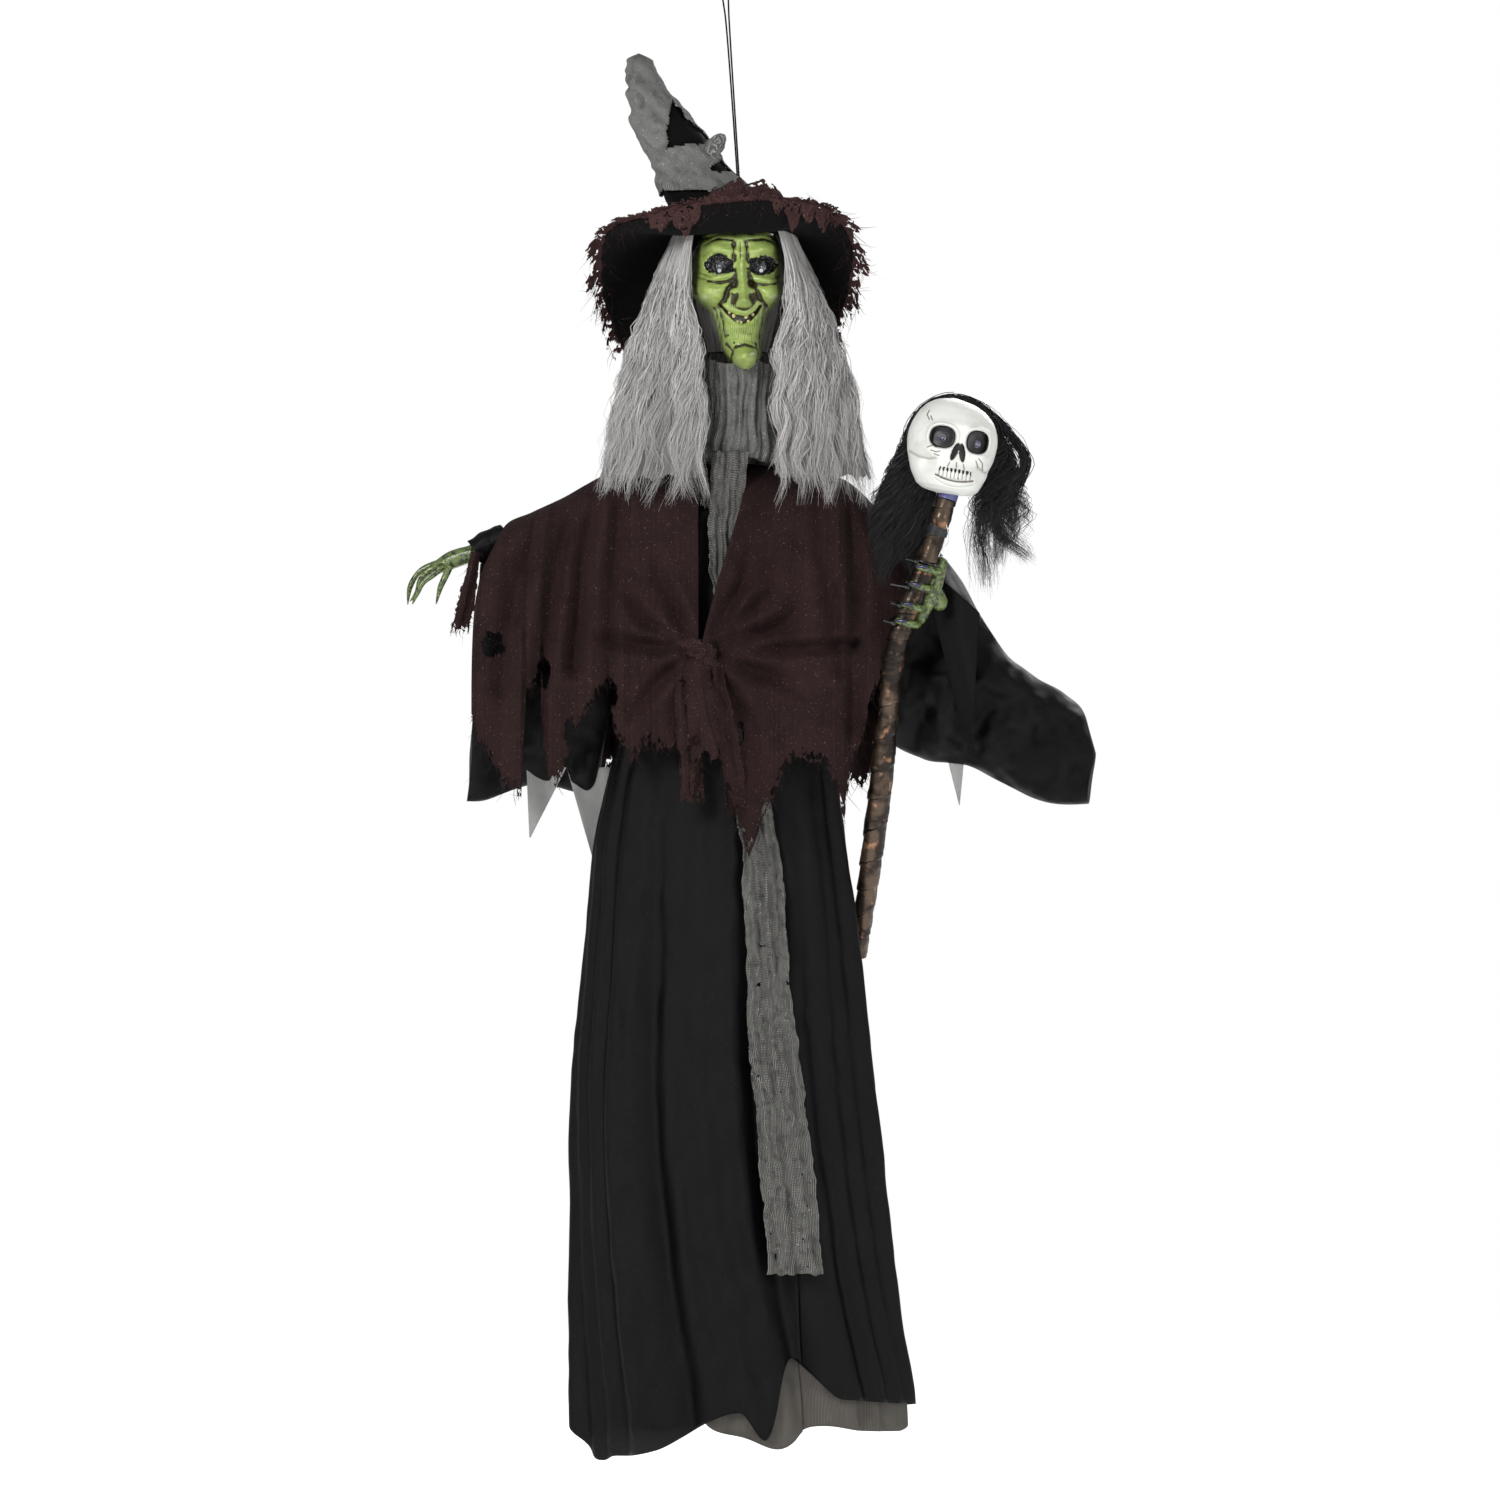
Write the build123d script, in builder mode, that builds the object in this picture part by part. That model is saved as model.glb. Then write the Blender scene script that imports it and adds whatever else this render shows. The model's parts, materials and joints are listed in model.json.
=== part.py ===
"""Life-size hanging witch figure with a motor-turned head, raisable arms and a skull-topped staff.

Row frame: the origin is where a hook bears on the hanging loop, +Z is up, the figure faces -Y
and +X is on the onlooker's right. Lengths are in millimetres.
"""

import os
from math import acos, cos, pi, radians, sin, tan

from build123d import *

os.makedirs("parts", exist_ok=True)

# ------------------------------------------------------------------ driving dimensions
fit_gap = 0.05  # running clearance of shafts in bores, on the radius
body_gap = 1.0  # between pieces that move past each other
shell_wall = 2.5  # moulded head and skull shells
cloth = 3.0  # thickness given to every cloth solid

cord_r = 1.1  # hanging cord
hook_r = 3.0  # hook that the loop is made for
strand_gap = 2.5  # between the centre lines of the two strands
split_drop = 70.0  # the strands part this far below the hook
axis_x = 20.0  # turning axis of the head, beside the hook

eye_drop = 317.0  # hook to the centre of the hanging eye
eye_ring_r = 6.0
eye_wire_r = 1.5
rod_r = 3.5
rod_bore_r = 2.0

head_h = 170.0
head_half_w = 60.0
head_half_d = 76.0
neck_len = 172.0  # underside of the head to the shoulder pivots
shoulder_half = 90.0  # head axis to a shoulder pivot
beam_h = 24.0
beam_d = 20.0
pivot_r = 3.0
lug_r = 11.0
lug_t = 6.0
arm_r = 8.0

gear_module = 0.8
pinion_teeth = 12
wheel_teeth = 36
gear_face = 6.0
gear_backlash = 0.10
pressure_deg = 25.0

box_w = 100.0  # control box
box_d = 46.0
box_h = 120.0
box_wall = 2.0
cell_r = 7.0
cell_len = 50.0
door_d = 30.0
door_t = 2.4
switch_travel = 6.0

gown_len = 1228.0
gown_top_half_w = 84.0
gown_flare = 0.1205  # growth of the gown's half width per length
gown_spread = 0.052  # growth of the gown's half depth per length
cape_len = 420.0
tabard_len = 1055.0
scarf_r = 47.0
scarf_len = 120.0

staff_r = 12.0
staff_wall = 2.5
skull_w = 112.0
skull_d = 104.0
skull_h = 134.0
skull_roll = 11.0  # the skull leans over by this many degrees
led_r = 2.5

brim_t = 3.0
brim_half_w = 168.0
brim_half_d = 150.0
brim_rise = 0.2  # the brim's front lifts by this share of its depth
crown_r = 67.0

# ------------------------------------------------------------------ heights worked out from them
eye_z = -eye_drop
head_top = eye_z - eye_ring_r - 7.0
head_bottom = head_top - head_h
shoulder_z = head_bottom - neck_len
lock_cut = head_bottom - 92.0  # the wig's lower locks start under this plane
lock_end = shoulder_z - 12.0
cape_top = shoulder_z + 40.0
cape_bottom = cape_top - cape_len
gown_top = shoulder_z - beam_h / 2 - 8.0
gown_hem_half_w = gown_top_half_w + gown_flare * gown_len
gown_top_half_d = box_d + 10.0
cape_top_half_d = gown_top_half_d + 6.0
cape_bottom_half_d = gown_top_half_d + 40.0
gown_x = axis_x - 10.0
right_pivot = (axis_x - shoulder_half, shoulder_z)
left_pivot = (axis_x + shoulder_half, shoulder_z)


# ------------------------------------------------------------------ helpers
def write(builder, name):
    """Labels a finished sub-part and writes its STEP file."""
    builder.part.label = name
    export_step(builder.part, f"parts/{name}.step")


def slab(outline, front, back):
    """An XZ outline as a solid from y = front to y = back."""
    with BuildPart() as piece:
        with BuildSketch(Plane.XZ.offset(-back)):
            with BuildLine():
                Polyline(*outline, close=True)
            make_face()
        extrude(amount=back - front)
    return piece.part


def rod_between(start, end, radius):
    """A plain round bar from one point to another."""
    run = Vector(*end) - Vector(*start)
    with BuildPart() as piece:
        with BuildSketch(Plane(origin=start, z_dir=run)):
            Circle(radius)
        extrude(amount=run.length)
    return piece.part


def bend_radii(points, share=0.45):
    """The largest arc that each corner's two runs allow."""
    spots = [Vector(*p) for p in points]
    radii = []
    for before, here, after in zip(spots, spots[1:], spots[2:]):
        turn = radians((here - before).get_angle(after - here))
        shorter = min((here - before).length, (after - here).length)
        radii.append(share * shorter / tan(turn / 2))
    return radii


def tube_along(points, radius):
    """A round tube along straight runs joined by tangent arcs, and the length of its path."""
    radii = bend_radii(points)
    with BuildPart() as piece:
        with BuildLine() as route:
            FilletPolyline(*points, radius=radii)
        with BuildSketch(Plane(origin=points[0], z_dir=Vector(*points[1]) - Vector(*points[0]))):
            Circle(radius)
        sweep()
    length = route.wires()[0].length
    share = piece.part.volume / (pi * radius**2 * length)
    print("tube radii", [round(r, 1) for r in radii], "length", round(length, 1), "volume share", round(share, 3))
    return piece.part


def ellipse_loft(sections, ruled=False):
    """A solid through level ellipses given as (z, centre x, centre y, half width, half depth)."""
    with BuildPart() as piece:
        for z, x, y, half_w, half_d in sections:
            with BuildSketch(Plane(origin=(x, y, z))):
                Ellipse(half_w, half_d)
        loft(ruled=ruled)
    return piece.part


def involute_gear_outline(teeth, turn_deg):
    """Points round a spur gear with a tooth centred at turn_deg."""
    pitch_r = gear_module * teeth / 2
    slope = radians(pressure_deg)
    base_r = pitch_r * cos(slope)
    tip_r = pitch_r + 0.9 * gear_module
    root_r = pitch_r - 1.2 * gear_module

    def involute(angle):
        return tan(angle) - angle

    pitch_half = pi / (2 * teeth) - gear_backlash / (2 * pitch_r)
    flank_start = max(base_r, root_r)
    flank = []
    for step in range(4):
        r = flank_start + (tip_r - flank_start) * step / 3
        half = pitch_half + involute(slope) - involute(acos(min(1.0, base_r / r)))
        flank.append((r, half))
    if root_r < base_r:
        flank.insert(0, (root_r, flank[0][1]))
    points = []
    for tooth in range(teeth):
        middle = radians(turn_deg) + 2 * pi * tooth / teeth
        rising = [(r, middle - half) for r, half in flank]
        falling = [(r, middle + half) for r, half in reversed(flank)]
        points += [(r * cos(a), r * sin(a)) for r, a in rising + falling]
    return points


def ring_solid(centre, inner_r, outer_r, low, high):
    """A level ring around a vertical axis at centre (x, y)."""
    with BuildPart() as piece:
        with BuildSketch(Plane(origin=(centre[0], centre[1], low))):
            Circle(outer_r)
            if inner_r:
                Circle(inner_r, mode=Mode.SUBTRACT)
        extrude(amount=high - low)
    return piece.part


# ------------------------------------------------------------------ hanging cord, eye and rod
knot_top = eye_z + eye_ring_r + 5.5
strand = strand_gap / 2
loop_r = hook_r + cord_r
split_x = axis_x * split_drop / eye_drop
cord_points = [
    (axis_x - strand, 0, knot_top),
    (split_x - strand, 0, -split_drop),
    (-loop_r, 0, -12),
    (-loop_r, 0, cord_r),
    (loop_r, 0, cord_r),
    (loop_r, 0, -12),
    (split_x + strand, 0, -split_drop),
    (axis_x + strand, 0, knot_top),
]
cord_tube = tube_along(cord_points, cord_r)
below_knot = slab([(-60, knot_top), (90, knot_top), (90, knot_top - 20), (-60, knot_top - 20)], -10, 10)
with BuildPart() as hang_cord:
    add(cord_tube)
    add(below_knot, mode=Mode.SUBTRACT)
write(hang_cord, "hang_cord")

rod_top = eye_z - eye_ring_r - 3.0
rod_end = shoulder_z - beam_h / 2 - 8.0
with BuildPart() as hang_eye:
    with BuildSketch(Plane(origin=(axis_x, 0, eye_z))):
        with Locations((eye_ring_r, 0)):
            Circle(eye_wire_r)
    revolve(axis=Axis((axis_x, 0, eye_z), (0, 1, 0)))
    with BuildSketch(Plane(origin=(axis_x, 0, eye_z - eye_ring_r))):
        Circle(rod_bore_r)
    extrude(amount=-15)
    with BuildSketch(Plane(origin=(axis_x, 0, rod_top))):
        Circle(rod_r)
    extrude(amount=1.5)
write(hang_eye, "hang_eye")

with BuildPart() as eye_channel:
    with BuildSketch(Plane(origin=(axis_x, 0, eye_z))):
        with Locations((eye_ring_r, 0)):
            Circle(eye_wire_r + fit_gap)
    revolve(axis=Axis((axis_x, 0, eye_z), (0, 1, 0)))
with BuildPart() as hang_knot:
    with BuildSketch(Plane(origin=(axis_x, 0, knot_top))):
        Circle(3.8)
    extrude(amount=-9)
    fillet(hang_knot.edges().group_by(Axis.Z)[0], radius=2.0)
    add(eye_channel.part, mode=Mode.SUBTRACT)
write(hang_knot, "hang_knot")

with BuildPart() as neck_rod:
    add(ring_solid((axis_x, 0), rod_bore_r, rod_r, rod_end, rod_top))
write(neck_rod, "neck_rod")

lead_top = head_bottom + 50.0
with BuildPart() as head_lead:
    add(ring_solid((axis_x, 0), 0, rod_bore_r - 0.6, rod_end, lead_top))
write(head_lead, "head_lead")

nut_top = shoulder_z - beam_h / 2
with BuildPart() as rod_nut:
    with BuildSketch(Plane(origin=(axis_x, 0, nut_top))):
        RegularPolygon(6.5, 6)
        Circle(rod_r, mode=Mode.SUBTRACT)
    extrude(amount=-5)
write(rod_nut, "rod_nut")

# ------------------------------------------------------------------ head shells
head_shares = [  # (share of the head's height from the top, centre y, share of width, share of depth)
    (0.0, 8, 0.36, 0.34),
    (0.09, 6, 0.70, 0.68),
    (0.29, 3, 0.92, 0.93),
    (0.53, 0, 1.0, 1.0),
    (0.74, -4, 0.88, 0.92),
    (0.88, -8, 0.74, 0.79),
    (1.0, -10, 0.66, 0.68),
]


def head_solid(growth, drop=0.0):
    """The head's outer form, grown all round, with its underside lowered by drop."""
    sections = [
        (head_top + growth - share * (head_h + growth + drop), axis_x, y,
         wide * head_half_w + growth, deep * head_half_d + growth)
        for share, y, wide, deep in head_shares
    ]
    return ellipse_loft(sections)


chin_r = 17.0
chin_y = 8.0 - head_half_d
head_outer = head_solid(0)
head_inner = head_solid(-shell_wall, drop=shell_wall * 3)
eye_h = head_top - 0.34 * head_h
eye_spacing = 27.0
eye_y = -0.82 * head_half_d
led_hole_r = led_r + 0.2


def eye_bores(radius):
    """A bar through each eye of the mask."""
    bars = [
        rod_between((axis_x + side * eye_spacing, -2 * head_half_d, eye_h),
                    (axis_x + side * eye_spacing, eye_y + 30, eye_h), radius)
        for side in (-1, 1)
    ]
    return bars


eye_holes = eye_bores(led_hole_r)
with BuildPart() as head_shell:
    add(head_outer)
    with Locations((axis_x, chin_y, head_bottom + 1.0)):
        Sphere(chin_r)
    with BuildSketch(Plane(origin=(axis_x, -head_half_d + 6, head_bottom + 0.52 * head_h))):
        Ellipse(10, 14)
    with BuildSketch(Plane(origin=(axis_x, -head_half_d - 22, head_bottom + 0.36 * head_h))):
        Ellipse(6, 7)
    loft()
    add(head_inner, mode=Mode.SUBTRACT)
    add(eye_holes, mode=Mode.SUBTRACT)
    with BuildSketch(Plane(origin=(axis_x, 0, head_top - 30))):
        Circle(rod_r + 3.0)
    extrude(amount=60, mode=Mode.SUBTRACT)
with BuildPart() as face_mask:
    add(head_shell.part)
    split(bisect_by=Plane.XZ, keep=Keep.TOP)
write(face_mask, "face_mask")
with BuildPart() as head_back:
    add(head_shell.part)
    split(bisect_by=Plane.XZ, keep=Keep.BOTTOM)
write(head_back, "head_back")

# a plate inside the head carries the driven gear and the lamps
plate_z = head_bottom + 36.0
plate_t = 4.0
collar_r = 8.0
plate_screws = [(axis_x + side * 26.0, 0.0) for side in (-1, 1)]
screw_r = 1.5
with BuildPart() as head_plate:
    with BuildSketch(Plane(origin=(axis_x, 0, plate_z))):
        Circle(2 * head_half_w)
    extrude(amount=plate_t)
    add(head_inner, mode=Mode.INTERSECT)
    with BuildSketch(Plane(origin=(axis_x, 0, plate_z))):
        Circle(collar_r)
    extrude(amount=plate_t, mode=Mode.SUBTRACT)
    with BuildSketch(Plane(origin=(0, 0, plate_z))):
        with Locations(*plate_screws):
            Circle(screw_r)
    extrude(amount=plate_t, mode=Mode.SUBTRACT)
write(head_plate, "head_plate")

with BuildPart() as head_screws:
    with BuildSketch(Plane(origin=(0, 0, plate_z))):
        with Locations(*plate_screws):
            Circle(screw_r)
    extrude(amount=plate_t)
    with BuildSketch(Plane(origin=(0, 0, plate_z))):
        with Locations(*plate_screws):
            Circle(screw_r * 2)
    extrude(amount=-2)
write(head_screws, "head_screws")

bush_high = head_top - shell_wall
with BuildPart() as upper_bush:
    add(ring_solid((axis_x, 0), rod_r + fit_gap, rod_r + 3.0, bush_high - 6, head_top - 0.4))
write(upper_bush, "upper_bush")

led_len = 9.0
lens_y = eye_y - 6.0
with BuildPart() as eye_leds:
    for side in (-1, 1):
        add(rod_between((axis_x + side * eye_spacing, lens_y, eye_h),
                        (axis_x + side * eye_spacing, lens_y + led_len, eye_h), led_r))
write(eye_leds, "eye_leds")
with BuildPart() as eye_lenses:
    for side in (-1, 1):
        with Locations((axis_x + side * eye_spacing, lens_y - 0.5, eye_h)):
            Sphere(led_r + 1.5)
    split(bisect_by=Plane.XZ.offset(-lens_y), keep=Keep.TOP)
write(eye_lenses, "eye_lenses")

# ------------------------------------------------------------------ head drive
centre_gap = gear_module * (pinion_teeth + wheel_teeth) / 2
idler_at = (axis_x, centre_gap)
motor_at = (axis_x + centre_gap * cos(radians(30)), centre_gap * sin(radians(30)))
wheel_top = head_bottom - 28.0
wheel_low = wheel_top - gear_face
second_top = wheel_low - 1.5
second_low = second_top - gear_face
base_top = second_low - 2.5
base_t = 3.0
base_low = base_top - base_t
cover_r = 38.0
cover_wall = 2.0
cover_top = wheel_top + 4.0
post_r = 2.0
shaft_r = 1.0
tooth_pitch = 360.0 / wheel_teeth
pinion_pitch = 360.0 / pinion_teeth

with BuildPart() as head_gear:
    with BuildSketch(Plane(origin=(axis_x, 0, wheel_low))):
        with BuildLine():
            Polyline(*involute_gear_outline(wheel_teeth, 90), close=True)
        make_face()
    extrude(amount=gear_face)
    add(ring_solid((axis_x, 0), 0, collar_r, wheel_top, plate_z + plate_t))
    with BuildSketch(Plane(origin=(axis_x, 0, wheel_low - 1))):
        Circle(rod_r + fit_gap)
    extrude(amount=plate_z + plate_t - wheel_low + 2, mode=Mode.SUBTRACT)
write(head_gear, "head_gear")

with BuildPart() as idler_gear:
    with BuildSketch(Plane(origin=(*idler_at, wheel_low - 1.5))):
        with BuildLine():
            Polyline(*involute_gear_outline(pinion_teeth, -90 + pinion_pitch / 2), close=True)
        make_face()
    extrude(amount=gear_face + 1.5)
    with BuildSketch(Plane(origin=(*idler_at, second_low))):
        with BuildLine():
            Polyline(*involute_gear_outline(wheel_teeth, -30), close=True)
        make_face()
    extrude(amount=gear_face)
    with BuildSketch(Plane(origin=(*idler_at, second_low))):
        Circle(post_r + fit_gap)
    extrude(amount=3 * gear_face, mode=Mode.SUBTRACT)
write(idler_gear, "idler_gear")

shaft_in = 6.0
with BuildPart() as motor_pinion:
    with BuildSketch(Plane(origin=(*motor_at, second_low))):
        with BuildLine():
            Polyline(*involute_gear_outline(pinion_teeth, 150 + pinion_pitch / 2), close=True)
        make_face()
    extrude(amount=gear_face)
    with BuildSketch(Plane(origin=(*motor_at, second_low))):
        Circle(shaft_r)
    extrude(amount=-(second_low - base_low) - shaft_in)
write(motor_pinion, "motor_pinion")

with BuildPart() as gearbox_base:
    add(ring_solid((axis_x, 0), rod_r, cover_r, base_low, base_top))
    with BuildSketch(Plane(origin=(*motor_at, base_low))):
        Circle(shaft_r + 1.0)
    extrude(amount=base_t, mode=Mode.SUBTRACT)
    with BuildSketch(Plane(origin=(*idler_at, base_top))):
        Circle(post_r)
    extrude(amount=wheel_top - base_top + 1)
    with BuildSketch(Plane(origin=(*idler_at, base_top))):
        Circle(post_r + 1.6)
    extrude(amount=second_low - base_top - 0.3)
    with BuildSketch(Plane(origin=(axis_x, 0, base_low))):
        Circle(rod_r + 5)
        Circle(rod_r, mode=Mode.SUBTRACT)
    extrude(amount=-8)
write(gearbox_base, "gearbox_base")

with BuildPart() as gearbox_cover:
    add(ring_solid((axis_x, 0), cover_r - cover_wall, cover_r, base_top, cover_top))
    add(ring_solid((axis_x, 0), collar_r + body_gap, cover_r, cover_top - cover_wall, cover_top))
write(gearbox_cover, "gearbox_cover")

motor_r = 9.0
motor_len = 28.0
with BuildPart() as gear_motor:
    with BuildSketch(Plane(origin=(*motor_at, base_low))):
        Circle(motor_r)
    extrude(amount=-motor_len)
    chamfer(gear_motor.edges().group_by(Axis.Z)[0], length=1.2)
    with BuildSketch(Plane(origin=(*motor_at, base_low))):
        Circle(shaft_r + fit_gap)
    extrude(amount=-shaft_in - 0.5, mode=Mode.SUBTRACT)
    with BuildSketch(Plane(origin=(axis_x, 0, base_low))):
        Circle(rod_r + 5 + fit_gap)
    extrude(amount=-8.2, mode=Mode.SUBTRACT)
write(gear_motor, "gear_motor")

# ------------------------------------------------------------------ shoulder beam, spine and control box
beam_top = shoulder_z + beam_h / 2
beam_low = shoulder_z - beam_h / 2
beam_back = beam_d / 2
with BuildPart() as shoulder_beam:
    with BuildSketch(Plane.XZ.offset(-beam_back)):
        with Locations((axis_x, shoulder_z)):
            SlotOverall(2 * shoulder_half + beam_h, beam_h)
        with Locations(right_pivot, left_pivot):
            Circle(pivot_r, mode=Mode.SUBTRACT)
    extrude(amount=beam_d)
    with BuildSketch(Plane(origin=(axis_x, 0, beam_low))):
        Circle(rod_r)
    extrude(amount=beam_h, mode=Mode.SUBTRACT)
write(shoulder_beam, "shoulder_beam")

spine_w = 60.0
spine_t = 3.0
box_top = beam_low - 41.0
box_low = box_top - box_h
box_back = beam_back
box_front = box_back - box_d
box_split = box_back - box_d / 2
spine_low = box_top - 35.0
spine_screw_r = 2.0
spine_holes = [(axis_x + side * 20.0, z) for side in (-1, 1) for z in (beam_low + 8.0, box_top - 12.0)]
with BuildPart() as spine_plate:
    with BuildSketch(Plane.XZ.offset(-(beam_back + spine_t))):
        with Locations((axis_x, (beam_low + 16 + spine_low) / 2)):
            RectangleRounded(spine_w, beam_low + 16 - spine_low, 6)
        with Locations(*spine_holes):
            Circle(spine_screw_r, mode=Mode.SUBTRACT)
        with Locations((axis_x, (beam_low + box_top) / 2)):
            SlotOverall(30, 12, mode=Mode.SUBTRACT)
    extrude(amount=spine_t)
write(spine_plate, "spine_plate")

with BuildPart() as spine_screws:
    with BuildSketch(Plane.XZ.offset(-(beam_back + spine_t))):
        with Locations(*spine_holes):
            Circle(spine_screw_r)
    extrude(amount=spine_t)
    with BuildSketch(Plane.XZ.offset(-(beam_back + spine_t))):
        with Locations(*spine_holes):
            Circle(2 * spine_screw_r)
    extrude(amount=-2)
write(spine_screws, "spine_screws")

lug_back = beam_back + 0.3 + lug_t
with BuildPart() as shoulder_bolts:
    with BuildSketch(Plane.XZ.offset(-(lug_back + 0.3))):
        with Locations(right_pivot, left_pivot):
            Circle(pivot_r)
    extrude(amount=beam_d + lug_t + 0.6)
    with BuildSketch(Plane.XZ.offset(-(lug_back + 0.3))):
        with Locations(right_pivot, left_pivot):
            RegularPolygon(2 * pivot_r, 6)
    extrude(amount=-4)
    with BuildSketch(Plane.XZ.offset(beam_back)):
        with Locations(right_pivot, left_pivot):
            Circle(2 * pivot_r)
    extrude(amount=3)
write(shoulder_bolts, "shoulder_bolts")

speaker_r = 22.0
speaker_at = (axis_x - 22.0, box_top - 34.0)
sensor_at = (axis_x + 34.0, box_top - 22.0)
sensor_r = 4.8
grille_r = 2.2
bay_half_w = 3 * cell_r + 2.5
bay_front = box_front + box_wall + 4.0
bay_back = bay_front + 2 * cell_r + 1.6
bay_z = box_low + cell_len + 7.0
switch_z = box_low + 42.0
switch_len = 7.0
switch_half_y = 2.5
box_right = axis_x + box_w / 2
switch_y = box_split - 8.0
door_front = bay_front - 3.0
door_back = door_front + door_d
door_half_w = bay_half_w + 3.0
hinge_r = 1.6
hinge_pin_r = 0.75
hinge_z = box_low - 0.4 - door_t / 2
ear_gap = 0.4
ear_t = 3.0

with BuildPart() as box_shell:
    with BuildSketch(Plane.XY.offset(box_low)):
        with Locations((axis_x, (box_front + box_back) / 2)):
            RectangleRounded(box_w, box_d, 5)
    extrude(amount=box_h)
    with BuildSketch(Plane.XY.offset(box_low + box_wall)):
        with Locations((axis_x, (box_front + box_back) / 2)):
            RectangleRounded(box_w - 2 * box_wall, box_d - 2 * box_wall, 3.5)
    extrude(amount=box_h - 2 * box_wall, mode=Mode.SUBTRACT)
    with BuildSketch(Plane.XY.offset(box_low)):
        with Locations((axis_x, (door_front + door_back) / 2)):
            Rectangle(2 * door_half_w + 0.6, door_d + 0.6)
    extrude(amount=box_wall, mode=Mode.SUBTRACT)
    with BuildSketch(Plane.XZ.offset(-box_front - 2 * box_wall)):
        with Locations(speaker_at):
            with PolarLocations(14, 8):
                Circle(grille_r)
            with PolarLocations(7, 4):
                Circle(grille_r)
        with Locations(sensor_at):
            Circle(grille_r)
    extrude(amount=3 * box_wall, mode=Mode.SUBTRACT)
    with BuildSketch(Plane.YZ.offset(box_right - 2 * box_wall)):
        with Locations((switch_y, switch_z + switch_travel / 2)):
            Rectangle(2 * switch_half_y + 0.4, switch_len + switch_travel + 0.4)
    extrude(amount=3 * box_wall, mode=Mode.SUBTRACT)
    with BuildSketch(Plane.XZ.offset(-box_back)):
        with Locations(*[p for p in spine_holes if p[1] < box_top]):
            Circle(spine_screw_r)
    extrude(amount=box_wall, mode=Mode.SUBTRACT)
    for side in (-1, 1):
        ear_at = axis_x + side * (door_half_w + ear_gap + ear_t / 2)
        with BuildSketch(Plane.YZ.offset(ear_at - ear_t / 2)):
            with Locations((door_back, hinge_z)):
                Circle(hinge_r)
            with Locations((door_back, (hinge_z + box_low + box_wall) / 2)):
                Rectangle(2 * hinge_r, box_low + box_wall - hinge_z)
            with Locations((door_back, hinge_z)):
                Circle(hinge_pin_r + fit_gap, mode=Mode.SUBTRACT)
        extrude(amount=ear_t)
with BuildPart() as control_box_front:
    add(box_shell.part)
    split(bisect_by=Plane.XZ.offset(-box_split), keep=Keep.TOP)
write(control_box_front, "control_box_front")
with BuildPart() as control_box_back:
    add(box_shell.part)
    split(bisect_by=Plane.XZ.offset(-box_split), keep=Keep.BOTTOM)
write(control_box_back, "control_box_back")

with BuildPart() as battery_door:
    with BuildSketch(Plane.XY.offset(box_low - 0.4)):
        with Locations((axis_x, (door_front + door_back) / 2)):
            Rectangle(2 * door_half_w, door_d)
    extrude(amount=-door_t)
    with BuildSketch(Plane.YZ.offset(axis_x - door_half_w)):
        with Locations((door_back, hinge_z)):
            Circle(hinge_r)
    extrude(amount=2 * door_half_w)
    with BuildSketch(Plane.YZ.offset(axis_x - door_half_w - ear_gap - ear_t)):
        with Locations((door_back, hinge_z)):
            Circle(hinge_pin_r)
    extrude(amount=2 * (door_half_w + ear_gap + ear_t))
write(battery_door, "battery_door")
cell_y = (bay_front + bay_back) / 2
cell_low = box_low + box_wall + 1.5
cell_places = [(axis_x + k * (2 * cell_r + 0.6), cell_y) for k in (-1, 0, 1)]
with BuildPart() as batteries:
    with BuildSketch(Plane.XY.offset(cell_low)):
        with Locations(*cell_places):
            Circle(cell_r)
    extrude(amount=cell_len - 1.5)
    with BuildSketch(Plane.XY.offset(cell_low + cell_len - 1.5)):
        with Locations(*cell_places):
            Circle(2.6)
    extrude(amount=1.5)
write(batteries, "batteries")

with BuildPart() as battery_contacts:
    with BuildSketch(Plane.XY.offset(cell_low + cell_len)):
        with Locations(*cell_places):
            Rectangle(9, 9)
    extrude(amount=0.8)
    with BuildSketch(Plane.XY.offset(cell_low - 0.8)):
        with Locations(*cell_places):
            Rectangle(9, 9)
    extrude(amount=0.8)
write(battery_contacts, "battery_contacts")

board_back = box_back - box_wall - 5.0
board_t = 1.6
board_at = (axis_x - 4.0, box_top - 44.0)
with BuildPart() as circuit_board:
    with BuildSketch(Plane.XZ.offset(-board_back)):
        with Locations(board_at):
            Rectangle(80, 60)
    extrude(amount=board_t)
    with BuildSketch(Plane.XZ.offset(-board_back + board_t)):
        with Locations(board_at):
            with GridLocations(22, 18, 3, 2):
                Rectangle(10, 8)
    extrude(amount=3)
write(circuit_board, "circuit_board")

speaker_front = box_front + box_wall
with BuildPart() as speaker:
    with BuildSketch(Plane.XZ.offset(-(speaker_front + 5))):
        with Locations(speaker_at):
            Circle(speaker_r)
    extrude(amount=5)
    with BuildSketch(Plane.XZ.offset(-(speaker_front + 12))):
        with Locations(speaker_at):
            Circle(speaker_r / 2)
    extrude(amount=7)
write(speaker, "speaker")

with BuildPart() as sound_sensor:
    with BuildSketch(Plane.XZ.offset(-(speaker_front + 6))):
        with Locations(sensor_at):
            Circle(sensor_r)
    extrude(amount=6)
write(sound_sensor, "sound_sensor")

with BuildPart() as switch_knob:
    with BuildSketch(Plane.YZ.offset(box_right - 2 * box_wall - 3)):
        with Locations((switch_y, switch_z)):
            Rectangle(2 * switch_half_y, switch_len)
    extrude(amount=2 * box_wall + 6)
write(switch_knob, "switch_knob")

# ------------------------------------------------------------------ gown, tabard and neck scarf
gown_shares = [(0.0, 0.0), (0.17, 0.16), (0.335, 0.42), (0.62, 0.78), (1.0, 1.0)]


def gown_half_depth(z):
    """Half depth of the gown's outside at a height."""
    return gown_top_half_d + (gown_top - z) * gown_spread


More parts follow.
